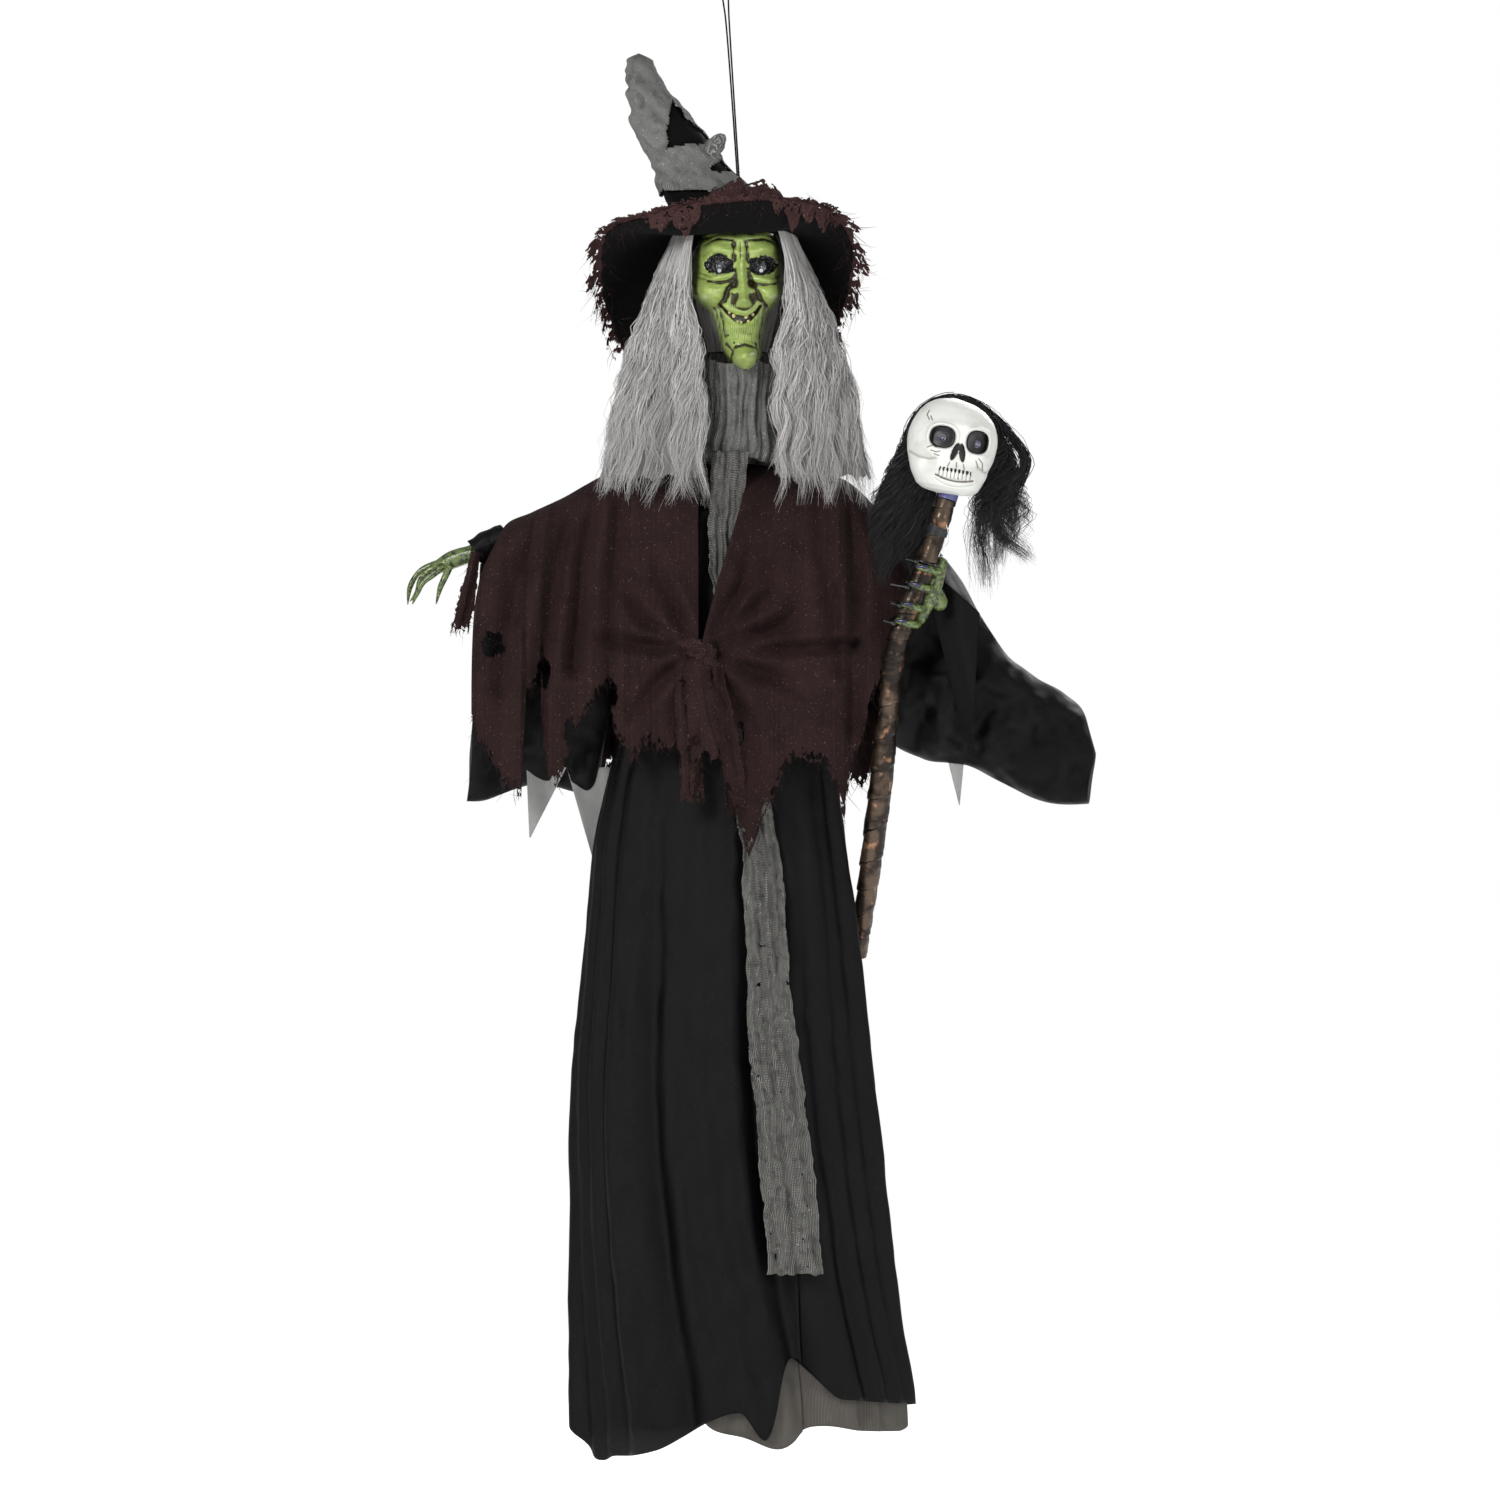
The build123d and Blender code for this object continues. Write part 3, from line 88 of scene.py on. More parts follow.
def smooth(x, keys):
    """A smooth curve through keys (x, value, ...), read at x."""
    keys = np.array(keys, float)
    xs, ys = keys[:, 0], keys[:, 1:]
    x = np.clip(np.asarray(x, float), xs[0], xs[-1])
    slope = np.gradient(ys, xs, axis=0)
    i = np.clip(np.searchsorted(xs, x, side="right") - 1, 0, len(xs) - 2)
    span = xs[i + 1] - xs[i]
    t = ((x - xs[i]) / span)[..., None]
    span = span[..., None]
    value = (
        (2 * t**3 - 3 * t**2 + 1) * ys[i]
        + (t**3 - 2 * t**2 + t) * span * slope[i]
        + (3 * t**2 - 2 * t**3) * ys[i + 1]
        + (t**3 - t**2) * span * slope[i + 1]
    )
    return value[..., 0] if ys.shape[1] == 1 else value


def ease(x, low, high):
    """0 below low, 1 above high, smooth between."""
    t = np.clip((x - low) / (high - low), 0, 1)
    return t * t * (3 - 2 * t)


def noise(points, size, seed=0):
    """Smooth noise from -1 to 1 at points, changing over about size."""
    p = np.asarray(points, float) / size + 31.7 * seed
    cell = np.floor(p).astype(np.int64)
    t = p - cell
    t = t * t * (3 - 2 * t)
    total = np.zeros(p.shape[:-1])
    for corner in np.ndindex(2, 2, 2):
        c = cell + np.array(corner)
        h = c[..., 0] * 374761393 + c[..., 1] * 668265263 + c[..., 2] * 1440662683
        h = (h ^ (h >> 13)) * 1274126177
        h = (h ^ (h >> 16)) & 0xFFFF
        weight = np.prod(np.where(np.array(corner) == 1, t, 1 - t), axis=-1)
        total += weight * (h / 32767.5 - 1)
    return total


def layered_noise(points, size, layers=3, seed=0):
    """Noise with finer and finer layers."""
    return sum(noise(points, size / 2**k, seed + k) / 2**k for k in range(layers))


def flat_noise(x, size, seed=0):
    """Noise along one number."""
    x = np.asarray(x, float)
    return noise(np.stack([x, np.zeros_like(x), np.zeros_like(x)], -1), size, seed)


def grid_faces(rows, columns, wrap=False):
    """Quads of a grid of points, row by row."""
    index = np.arange(rows * columns).reshape(rows, columns)
    if wrap:
        index = np.hstack([index, index[:, :1]])
    return np.stack([index[:-1, :-1], index[1:, :-1], index[1:, 1:], index[:-1, 1:]], -1).reshape(-1, 4)


def mesh(name, points, faces, finish, numbers=None, vectors=None, smooth_faces=True):
    """A mesh object from points in millimetres, with named values at its points."""
    points = np.asarray(points, float).reshape(-1, 3)
    faces = np.asarray(faces)
    used = np.zeros(len(points), bool)
    used[faces.reshape(-1)] = True
    new_index = np.cumsum(used) - 1
    data = bpy.data.meshes.new(name)
    data.from_pydata((points[used] * MM).tolist(), [], new_index[faces].tolist())
    for key, values in (numbers or {}).items():
        attribute = data.attributes.new(key, "FLOAT", "POINT")
        attribute.data.foreach_set("value", np.asarray(values, np.float32).reshape(-1)[used])
    for key, values in (vectors or {}).items():
        attribute = data.attributes.new(key, "FLOAT_VECTOR", "POINT")
        attribute.data.foreach_set("vector", np.asarray(values, np.float32).reshape(-1, 3)[used].reshape(-1))
    data.polygons.foreach_set("use_smooth", [smooth_faces] * len(data.polygons))
    data.materials.append(finish)
    obj = bpy.data.objects.new(name, data)
    bpy.context.scene.collection.objects.link(obj)
    return obj


def place(obj, body, slot, *nodes):
    """Puts a finished piece on a CAD body in place of CAD nodes; given a blend instead of a body, it only bakes
    the piece's placing into its mesh and ties it to no body.
    """
    if isinstance(body, tuple):
        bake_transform(obj)
    else:
        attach(obj, body)
    if nodes:
        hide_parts(*nodes)
    return obj


def cloth_steps(surface):
    """Distances along the rows and the columns of a grid of points."""
    across = np.linalg.norm(np.diff(surface, axis=1), axis=-1)
    down = np.linalg.norm(np.diff(surface, axis=0), axis=-1)
    across = np.hstack([np.zeros((surface.shape[0], 1)), np.cumsum(across, 1)])
    down = np.vstack([np.zeros((1, surface.shape[1])), np.cumsum(down, 0)])
    return across, down


def cloth(name, surface, finish, keep=None, wrap=False, thickness=0.6, numbers=None):
    """A sheet of cloth from a grid of points, with the faces where keep is false left out."""
    rows, columns = surface.shape[:2]
    faces = grid_faces(rows, columns, wrap)
    if keep is not None:
        inner = keep if wrap else keep[:, :-1]
        faces = faces[inner[:-1].reshape(-1)]
    across, down = cloth_steps(surface)
    thread = np.stack([np.broadcast_to(across.mean(0), across.shape), down, np.zeros_like(down)], -1) * MM
    obj = mesh(name, surface, faces, finish, numbers, {"thread": thread})
    if thickness:
        solid = obj.modifiers.new("thickness", "SOLIDIFY")
        solid.thickness = thickness * MM
        solid.offset = 0
    return obj


def declare_sheet(obj):
    data = obj.data
    count = len(data.vertices)
    thread = np.zeros(count * 3)
    data.attributes["thread"].data.foreach_get("vector", thread)
    spans = np.ptp(thread.reshape(-1, 3), axis=0)
    area = sum(p.area for p in data.polygons)
    width, length = spans[0], spans[1]
    if width * length < area:
        width = area / length
    area = max(area, 0.3 * width * length)
    print("flat size", obj.name, round(width, 3), "x", round(length, 3), "area", round(area, 4))


def tube_parts(path, radii, sides=12):
    """Points and quads of a round tube with closed ends along a path."""
    path = np.asarray(path, float)
    radii = np.broadcast_to(np.asarray(radii, float), (len(path),))
    tangent = np.gradient(path, axis=0)
    tangent /= np.linalg.norm(tangent, axis=1)[:, None]
    start = np.cross(tangent[0], (0.31, 0.87, 0.38))
    side = [start / np.linalg.norm(start)]
    for t in tangent[1:]:
        turned = side[-1] - t * np.dot(side[-1], t)
        side.append(turned / np.linalg.norm(turned))
    side = np.array(side)
    other = np.cross(tangent, side)
    angle = np.linspace(0, 2 * PI, sides, endpoint=False)
    ring = np.cos(angle)[None, :, None] * side[:, None] + np.sin(angle)[None, :, None] * other[:, None]
    points = path[:, None] + ring * radii[:, None, None]
    return points.reshape(-1, 3), grid_faces(len(path), sides, True), tangent


def joined(parts):
    """Several (points, faces) as one."""
    points, faces, start = [], [], 0
    for p, f in parts:
        points.append(p)
        faces.append(f + start)
        start += len(p)
    return np.vstack(points), np.vstack(faces)


def ball_parts(centre, radii, rows=12, sides=16):
    """Points and quads of an ellipsoid."""
    up = np.linspace(-PI / 2 + 0.02, PI / 2 - 0.02, rows)[:, None]
    round_ = np.linspace(0, 2 * PI, sides, endpoint=False)[None]
    unit = np.stack(
        [np.cos(up) * np.cos(round_), np.cos(up) * np.sin(round_), np.sin(up) + 0 * round_], -1)
    points = np.array(centre) + unit.reshape(-1, 3) * np.array(radii)
    return points, grid_faces(rows, sides, True)


def strand_ribbons(name, paths, width, finish, facing=(0, -1, 0), tone=None):
    """Thin flat strands along paths of shape (strands, points, 3), turned roughly to face a direction."""
    count, steps = paths.shape[:2]
    tangent = np.gradient(paths, axis=1)
    tilt = np.array(facing) + random.normal(0, 0.55, (count, 1, 3))
    side = np.cross(tangent, np.broadcast_to(tilt, tangent.shape))
    side /= np.linalg.norm(side, axis=-1, keepdims=True) + 1e-9
    taper = np.minimum(1.0, np.linspace(1.25, 0.12, steps) * 1.6)[None, :, None]
    widths = width * random.uniform(0.6, 1.5, (count, 1, 1)) * taper
    left, right = paths - side * widths / 2, paths + side * widths / 2
    points = np.stack([left, right], 2).reshape(-1, 3)
    one = grid_faces(steps, 2)
    faces = (one[None] + (np.arange(count) * steps * 2)[:, None, None]).reshape(-1, 4)
    if tone is None:
        tone = random.uniform(0, 1, count)
    tone = np.repeat(np.clip(tone, 0, 1), steps * 2)
    return mesh(name, points, faces, finish, {"tone": tone})


def rim_threads(name, surface, keep, count, length, finish):
    """Loose threads that stand out of the ragged rim of a cloth."""
    held = keep.copy()
    held[1:-1, 1:-1] &= keep[:-2, 1:-1] & keep[2:, 1:-1] & keep[1:-1, :-2] & keep[1:-1, 2:]
    held[0] = held[-1] = False
    rim = surface[keep & ~held]
    starts = rim[random.integers(0, len(rim), count)]
    way = random.normal(0, 0.55, (count, 1, 3)) + (0, 0, -0.8)
    bend = random.normal(0, 0.5, (count, 1, 3))
    t = np.linspace(0, 1, 6)[None, :, None]
    long = length * random.uniform(0.25, 1.0, (count, 1, 1)) ** 2
    return strand_ribbons(name, starts[:, None] + long * (way * t + bend * t * t), 0.45, finish)


# ------------------------------------------------------------------ finishes
def srgb(*values):
    """A screen colour from 0 to 255 as the linear colour a shader needs."""
    v = np.array(values, float) / 255
    linear = np.where(v <= 0.04045, v / 12.92, ((v + 0.055) / 1.055) ** 2.4)
    return (*linear.tolist(), 1.0)


class Finish:
    """A procedural material built up in layers over one base colour."""

    def __init__(self, name, colour, roughness, **sockets):
        self.material = bpy.data.materials.new(name)
        self.material.use_nodes = True
        self.nodes = self.material.node_tree.nodes
        self.links = self.material.node_tree.links
        self.shader = self.nodes["Principled BSDF"]
        self.shader.inputs["Base Color"].default_value = colour
        self.shader.inputs["Roughness"].default_value = roughness
        for key, value in sockets.items():
            self.shader.inputs[key.replace("_", " ")].default_value = value
        self.colour = None
        self.base = colour

    def noise(self, size, detail=3.0, stretch=(1, 1, 1)):
        """A noise texture in object space; size is in millimetres."""
        place_node = self.nodes.new("ShaderNodeTexCoord")
        scaled = self.nodes.new("ShaderNodeMapping")
        scaled.inputs["Scale"].default_value = stretch
        self.links.new(place_node.outputs["Object"], scaled.inputs["Vector"])
        texture = self.nodes.new("ShaderNodeTexNoise")
        texture.inputs["Scale"].default_value = 1 / (size * MM)
        texture.inputs["Detail"].default_value = detail
        self.links.new(scaled.outputs["Vector"], texture.inputs["Vector"])
        return texture.outputs["Fac"]

    def value(self, name):
        """A number stored at the mesh's points."""
        node = self.nodes.new("ShaderNodeAttribute")
        node.attribute_name = name
        return node.outputs["Fac"]

    def weave(self, pitch):
        """Crossing threads of a cloth; pitch is in millimetres."""
        thread = self.nodes.new("ShaderNodeAttribute")
        thread.attribute_name = "thread"
        waves = []
        for way in ("X", "Y"):
            wave = self.nodes.new("ShaderNodeTexWave")
            wave.bands_direction = way
            wave.inputs["Scale"].default_value = 0.314 / (pitch * MM)
            wave.inputs["Distortion"].default_value = 1.2
            wave.inputs["Detail"].default_value = 1.0
            wave.inputs["Detail Scale"].default_value = 0.35
            self.links.new(thread.outputs["Vector"], wave.inputs["Vector"])
            waves.append(wave.outputs["Fac"])
        return self.maths("ADD", self.maths("MULTIPLY", waves[0], 0.5), self.maths("MULTIPLY", waves[1], 0.5))

    def maths(self, operation, first, second):
        """One step of arithmetic between sockets or numbers."""
        node = self.nodes.new("ShaderNodeMath")
        node.operation = operation
        for socket, given in zip(node.inputs, (first, second)):
            if isinstance(given, (int, float)):
                socket.default_value = given
            else:
                self.links.new(given, socket)
        return node.outputs[0]

    def ramp(self, source, low, high, start=0.0, end=1.0):
        """A source stretched so that low gives start and high gives end."""
        node = self.nodes.new("ShaderNodeMapRange")
        node.interpolation_type = "SMOOTHSTEP"
        for key, number in (("From Min", low), ("From Max", high), ("To Min", start), ("To Max", end)):
            node.inputs[key].default_value = number
        self.links.new(source, node.inputs["Value"])
        return node.outputs["Result"]

    def over(self, factor, colour):
        """Another colour laid over the last where factor is high."""
        node = self.nodes.new("ShaderNodeMix")
        node.data_type = "RGBA"
        self.links.new(factor, node.inputs["Factor"])
        if self.colour is None:
            node.inputs[6].default_value = self.base
        else:
            self.links.new(self.colour, node.inputs[6])
        node.inputs[7].default_value = colour
        self.colour = node.outputs[2]
        self.links.new(self.colour, self.shader.inputs["Base Color"])
        return self

    def drive(self, socket, source):
        """Sets one of the shader's inputs from a source."""
        self.links.new(source, self.shader.inputs[socket])
        return self

    def bump(self, height, depth, strength=1.0):
        """Surface relief; depth is in millimetres."""
        node = self.nodes.new("ShaderNodeBump")
        node.inputs["Strength"].default_value = strength
        node.inputs["Distance"].default_value = depth * MM
        self.links.new(height, node.inputs["Height"])
        previous = self.shader.inputs["Normal"].links
        if previous:
            self.links.new(previous[0].from_socket, node.inputs["Normal"])
        self.links.new(node.outputs["Normal"], self.shader.inputs["Normal"])
        return self


def woven(name, dark, light, pitch, depth, roughness=0.9, patch=40.0, fleck=None, **sockets):
    """Woven cloth: threads, uneven dye and, if given, pale flecks."""
    sockets.setdefault("Specular_IOR_Level", 0.12)
    finish = Finish(name, dark, roughness, **sockets)
    threads = finish.weave(pitch)
    finish.over(finish.ramp(threads, 0.3, 1.0), light)
    finish.over(finish.ramp(finish.noise(patch, 4.0), 0.45, 0.75, 0.0, 0.55), dark)
    if fleck:
        finish.over(finish.ramp(finish.noise(2.2, 1.0), 0.68, 0.76), fleck)
    finish.bump(threads, depth, 0.8)
    finish.bump(finish.noise(14.0, 4.0), 1.4, 0.4)
    return finish


def plain(name, colour, roughness, second, grain=6.0, depth=0.15, **sockets):
    """A moulded or metal surface with faint mottling and grain."""
    finish = Finish(name, colour, roughness, **sockets)
    finish.over(finish.ramp(finish.noise(grain * 4, 4.0), 0.42, 0.7, 0.0, 0.8), second)
    finish.bump(finish.noise(grain, 4.0), depth, 0.5)
    return finish


def hair(name, dark_tone, tip, **sockets):
    """Synthetic hair mixed between a dark colour and a light one, the argument tip, by each strand's tone rather
    than along the strand; where the tone follows how far back a strand lies, the darker strands are painted shade.
    """
    finish = Finish(name, dark_tone, 0.5, Specular_IOR_Level=0.25, **sockets)
    finish.over(finish.value("tone"), tip)
    finish.bump(finish.noise(1.4, 2.0, (1, 1, 0.06)), 0.5, 0.8)
    return finish


burlap = woven("burlap", srgb(28, 18, 18), srgb(66, 45, 44), 1.5, 0.8, fleck=srgb(96, 78, 76)).material
rag_net = woven("rag_net", srgb(44, 28, 28), srgb(88, 62, 60), 1.8, 0.9, fleck=srgb(120, 100, 98)).material
black_felt = woven("black_felt", srgb(5, 5, 5), srgb(13, 13, 13), 1.0, 0.2).material
sheer_black = woven("sheer_black", srgb(3, 3, 3), srgb(11, 11, 12), 1.1, 0.25, roughness=0.45,
                    fleck=srgb(26, 26, 28), Specular_IOR_Level=0.12)
sheer_black.drive("Alpha", sheer_black.ramp(sheer_black.value("sheer"), 0.0, 1.0, 1.0, 0.72))
sheer_black = sheer_black.material
grey_gauze = woven("grey_gauze", srgb(74, 74, 72), srgb(182, 183, 180), 1.6, 1.4, patch=14.0,
                   fleck=srgb(196, 196, 194)).material
tabard_gauze = woven("tabard_gauze", srgb(44, 43, 42), srgb(170, 169, 164), 2.2, 2.2, patch=10.0,
                     fleck=srgb(186, 185, 180)).material
grey_lining = woven("grey_lining", srgb(58, 55, 51), srgb(112, 109, 104), 1.2, 0.3, roughness=0.7).material
pale_sheer = woven("pale_sheer", srgb(120, 120, 119), srgb(186, 186, 184), 1.1, 0.3).material
grey_hair = hair("grey_hair", srgb(88, 85, 83), srgb(190, 188, 186)).material
black_hair = hair("black_hair", srgb(6, 6, 6), srgb(26, 26, 28)).material

cord_finish = Finish("braided_cord", srgb(6, 6, 7), 0.8, Specular_IOR_Level=0.1)
cord_finish.bump(cord_finish.noise(0.8, 2.0), 0.3)
cord_finish.over(cord_finish.ramp(cord_finish.noise(2.0), 0.5, 0.7), srgb(22, 22, 24))
cord_finish = cord_finish.material

clear_wire = plain("clear_wire", srgb(226, 228, 230), 0.15, srgb(190, 194, 198), 1.0, 0.05,
                   Transmission_Weight=0.3).material
black_tape = plain("black_tape", srgb(16, 17, 22), 0.35, srgb(34, 36, 44), 2.0, 0.3).material
black_nylon = plain("black_nylon", srgb(9, 9, 10), 0.25, srgb(26, 26, 28), 2.0, 0.1).material
teeth_finish = plain("teeth", srgb(196, 190, 128), 0.3, srgb(140, 128, 76), 1.0, 0.1).material
lens_finish = plain("clear_lens", srgb(92, 96, 100), 0.08, srgb(30, 31, 33), 1.5, 0.1,
                    Coat_Weight=1.0).material
purple_lens = plain("purple_lens", srgb(120, 116, 136), 0.08, srgb(40, 36, 60), 1.5, 0.1,
                    Coat_Weight=1.0).material
nail_finish = plain("nails", srgb(70, 66, 92), 0.25, srgb(36, 34, 50), 1.5, 0.1, Metallic=0.6).material
collar_finish = plain("skull_collar", srgb(82, 82, 128), 0.4, srgb(46, 46, 78), 2.0, 0.3).material

face_paint = Finish("face_paint", srgb(146, 166, 88), 0.34, Coat_Weight=0.35, Coat_Roughness=0.2)
face_paint.over(face_paint.ramp(face_paint.noise(9.0, 4.0), 0.45, 0.72, 0.0, 0.6), srgb(166, 184, 106))
face_paint.over(face_paint.ramp(face_paint.value("shade"), 0.0, 1.0), srgb(92, 106, 48))
# dark brown layer: painted shade in the creases, wrinkles, mouth and hollows, with painted moles and a chin mark
face_paint.over(face_paint.ramp(face_paint.value("shade_and_marks"), 0.2, 0.9), srgb(40, 32, 16))
face_paint.over(face_paint.ramp(face_paint.value("socket"), 0.25, 0.6), srgb(10, 10, 11))
silver = face_paint.maths("MULTIPLY", face_paint.ramp(face_paint.noise(1.7, 3.0), 0.58, 0.68),
                          face_paint.ramp(face_paint.value("socket"), 0.5, 0.9, 0.0, 0.8))
face_paint.over(silver, srgb(142, 144, 148))
face_paint.bump(face_paint.noise(1.6, 3.0), 0.35, 0.5)
face_paint = face_paint.material

hand_paint = Finish("hand_paint", srgb(88, 106, 52), 0.34, Coat_Weight=0.3)
hand_paint.over(hand_paint.ramp(hand_paint.noise(5.0, 4.0), 0.44, 0.62, 0.0, 0.97), srgb(24, 28, 14))
hand_paint.over(hand_paint.ramp(hand_paint.noise(8.0, 3.0), 0.6, 0.75, 0.0, 0.8), srgb(146, 160, 96))
hand_paint.bump(hand_paint.noise(2.5, 4.0), 0.8, 0.7)
hand_paint = hand_paint.material

skull_paint = Finish("skull_paint", srgb(216, 217, 212), 0.42)
skull_paint.over(skull_paint.ramp(skull_paint.noise(24.0, 4.0), 0.5, 0.75, 0.0, 0.5), srgb(190, 188, 178))
skull_paint.over(skull_paint.ramp(skull_paint.value("shade"), 0.1, 1.0, 0.0, 0.95), srgb(88, 78, 64))
skull_paint.over(skull_paint.ramp(skull_paint.value("black"), 0.4, 0.6), srgb(8, 8, 9))
skull_paint.bump(skull_paint.noise(2.0, 4.0), 0.2, 0.4)
skull_paint = skull_paint.material

staff_wrap = Finish("staff_wrap", srgb(84, 70, 58), 0.3, Metallic=0.7)
staff_wrap.over(staff_wrap.ramp(staff_wrap.noise(34.0, 4.0), 0.42, 0.58, 0.0, 0.95), srgb(36, 30, 27))
# lighter copper patches: painted highlights on the wrap
staff_wrap.over(staff_wrap.ramp(staff_wrap.noise(16.0, 3.0), 0.58, 0.72, 0.0, 0.8), srgb(160, 118, 90))
staff_wrap.over(staff_wrap.ramp(staff_wrap.value("seam"), 0.3, 0.9), srgb(10, 9, 9))
staff_wrap.bump(staff_wrap.noise(3.5, 4.0, (1, 1, 0.4)), 0.7, 0.6)
staff_wrap = staff_wrap.material


# ------------------------------------------------------------------ landmarks read from the frame
face_low, face_high = node_box("face_mask")
face_x = (face_low[0] + face_high[0]) / 2
face_top = face_high[2]
knot_low, knot_high = node_box("hang_knot")
_, gown_high = node_box("gown_front")
locks_low, locks_high = node_box("wig_locks")
right_pivot = joint_spot("right_arm_lift")
left_pivot = joint_spot("left_arm_lift")


# ------------------------------------------------------------------ cords
def cord_curve(name, points, diameter, finish):
    """A round cord through control points in millimetres."""
    data = bpy.data.curves.new(name, "CURVE")
    data.dimensions = "3D"
    spline = data.splines.new("NURBS")
    spline.points.add(len(points) - 1)
    for point, spot in zip(spline.points, points):
        point.co = (*(np.array(spot) * MM), 1.0)
    spline.order_u = 3
    spline.use_endpoint_u = True
    spline.resolution_u = 10
    data.bevel_depth = diameter / 2 * MM
    data.bevel_resolution = 4
    data.use_fill_caps = True
    data.materials.append(finish)
    obj = bpy.data.objects.new(name, data)
    bpy.context.scene.collection.objects.link(obj)
    return obj


cord_d = 2.2
strand = 1.12
cord_end = knot_high[2]
cord_x = (knot_low[0] + knot_high[0]) / 2
split_x, split_z = cord_x * 70 / 317, -70.0
loop_r, loop_top = 4.1, 1.1
cord_side = [(cord_x - strand, 0, cord_end), (split_x - strand, 0, split_z), (-loop_r, 0, -12 - 6 * cord_d),
             (-loop_r, 0, -12), (-loop_r, 0, loop_top)]
cord_back = [(loop_r, 0, loop_top), (loop_r, 0, -12), (loop_r, 0, -12 - 6 * cord_d),
             (split_x + strand, 0, split_z), (cord_x + strand, 0, cord_end)]
hang_cord = cord_curve("hanging_cord", cord_side + cord_back, cord_d, cord_finish)
place(hang_cord, "body_frame", "cord", "hang_cord")

knot_mid = (knot_low + knot_high) / 2
knot_turns = np.linspace(0, 6 * PI, 90)
knot_path = np.stack([
    knot_mid[0] + 3.0 * np.cos(knot_turns),
    knot_mid[1] + 3.0 * np.sin(knot_turns),
    np.linspace(knot_low[2] + 1.5, knot_high[2] - 0.5, 90),
], -1)
knot_points, knot_faces, _ = tube_parts(knot_path, 1.1, 10)
hang_knot = mesh("cord_knot", knot_points, knot_faces, cord_finish)
place(hang_knot, "body_frame", "cord", "hang_knot")

lead_low, lead_high = node_box("skull_lead")
lead_d = 1.2
lead_start = np.array([lead_high[0] - 3.6, lead_high[1] - 1.3, lead_high[2]])
lead_end = np.array([lead_low[0] + 0.6, lead_low[1] + 3.9, lead_low[2]])
lead_points = [lead_start, lead_start + (3, -3, -10), lead_start + (1.5, -4.4, -26),
               lead_end + (6, -3.4, 14), lead_end]


# ------------------------------------------------------------------ face
def line_distance(x, z, points):
    """Distance from a set of spots to a bent line."""
    best = np.full(x.shape, 1e9)
    for (ax, az), (bx, bz) in zip(points, points[1:]):
        dx, dz = bx - ax, bz - az
        t = np.clip(((x - ax) * dx + (z - az) * dz) / (dx * dx + dz * dz), 0, 1)
        best = np.minimum(best, np.hypot(x - ax - t * dx, z - az - t * dz))
    return best


def hill(x, z, at, size, turn=0.0):
    """A round-topped hill from 0 to 1 at a spot."""
    c, s = math.cos(math.radians(turn)), math.sin(math.radians(turn))
    dx, dz = x - at[0], z - at[1]
    a, b = (c * dx + s * dz) / size[0], (-s * dx + c * dz) / size[1]
    return np.exp(-(a * a + b * b))


# spots of the face as (across from its middle line, up from its top)
face_widths = [(0, 6), (-5, 38), (-14, 48), (-30, 54), (-52, 56), (-74, 58.5), (-88, 57.5), (-97, 51),
               (-106, 41), (-118, 35.5), (-134, 31), (-150, 27), (-160, 25), (-168, 22), (-176, 17),
               (-182, 9), (-186, 2)]
face_middle = [(0, -2), (-52, -4), (-90, -4), (-120, 0), (-150, 1), (-170, 5), (-185, 6.5)]
face_depths = [(0, 34), (-8, 58), (-30, 70), (-55, 73), (-85, 72), (-110, 69), (-140, 68), (-165, 74),
               (-185, 66)]
eye_spots = [(-26.8, -52), (28.8, -53)]
nose_ridge = [(1.5, -42), (2.0, -60), (3.5, -80), (4.4, -97)]
bulges = [  # (spot, size, height, turn)
    ((-26, -29), (24, 7), 8.0, -12), ((30, -29), (22, 7), 8.0, 10),  # brows
    ((-39, -85), (18, 14), 17.0, -20), ((37, -86), (17, 14), 17.0, 20),  # cheeks
    ((-26, -66), (13, 4.6), 7.0, 8), ((31, -69), (12, 4.6), 7.0, -8),  # pouches under the eyes
    ((-9, -86), (6.5, 6.5), 9.0, 0), ((16, -85), (6.5, 6.5), 9.0, 0),  # nostrils
    ((4.4, -98), (8, 8), 9.0, 0),  # tip of the nose
    ((3, -104), (18, 8), 5.0, 0),  # upper lip
    ((1, -131), (15, 6), 5.0, 0),  # lower lip
    ((6, -170), (14, 12), 22.0, 0),  # ball of the chin
    ((2, -22), (8, 12), 3.0, 0),
]
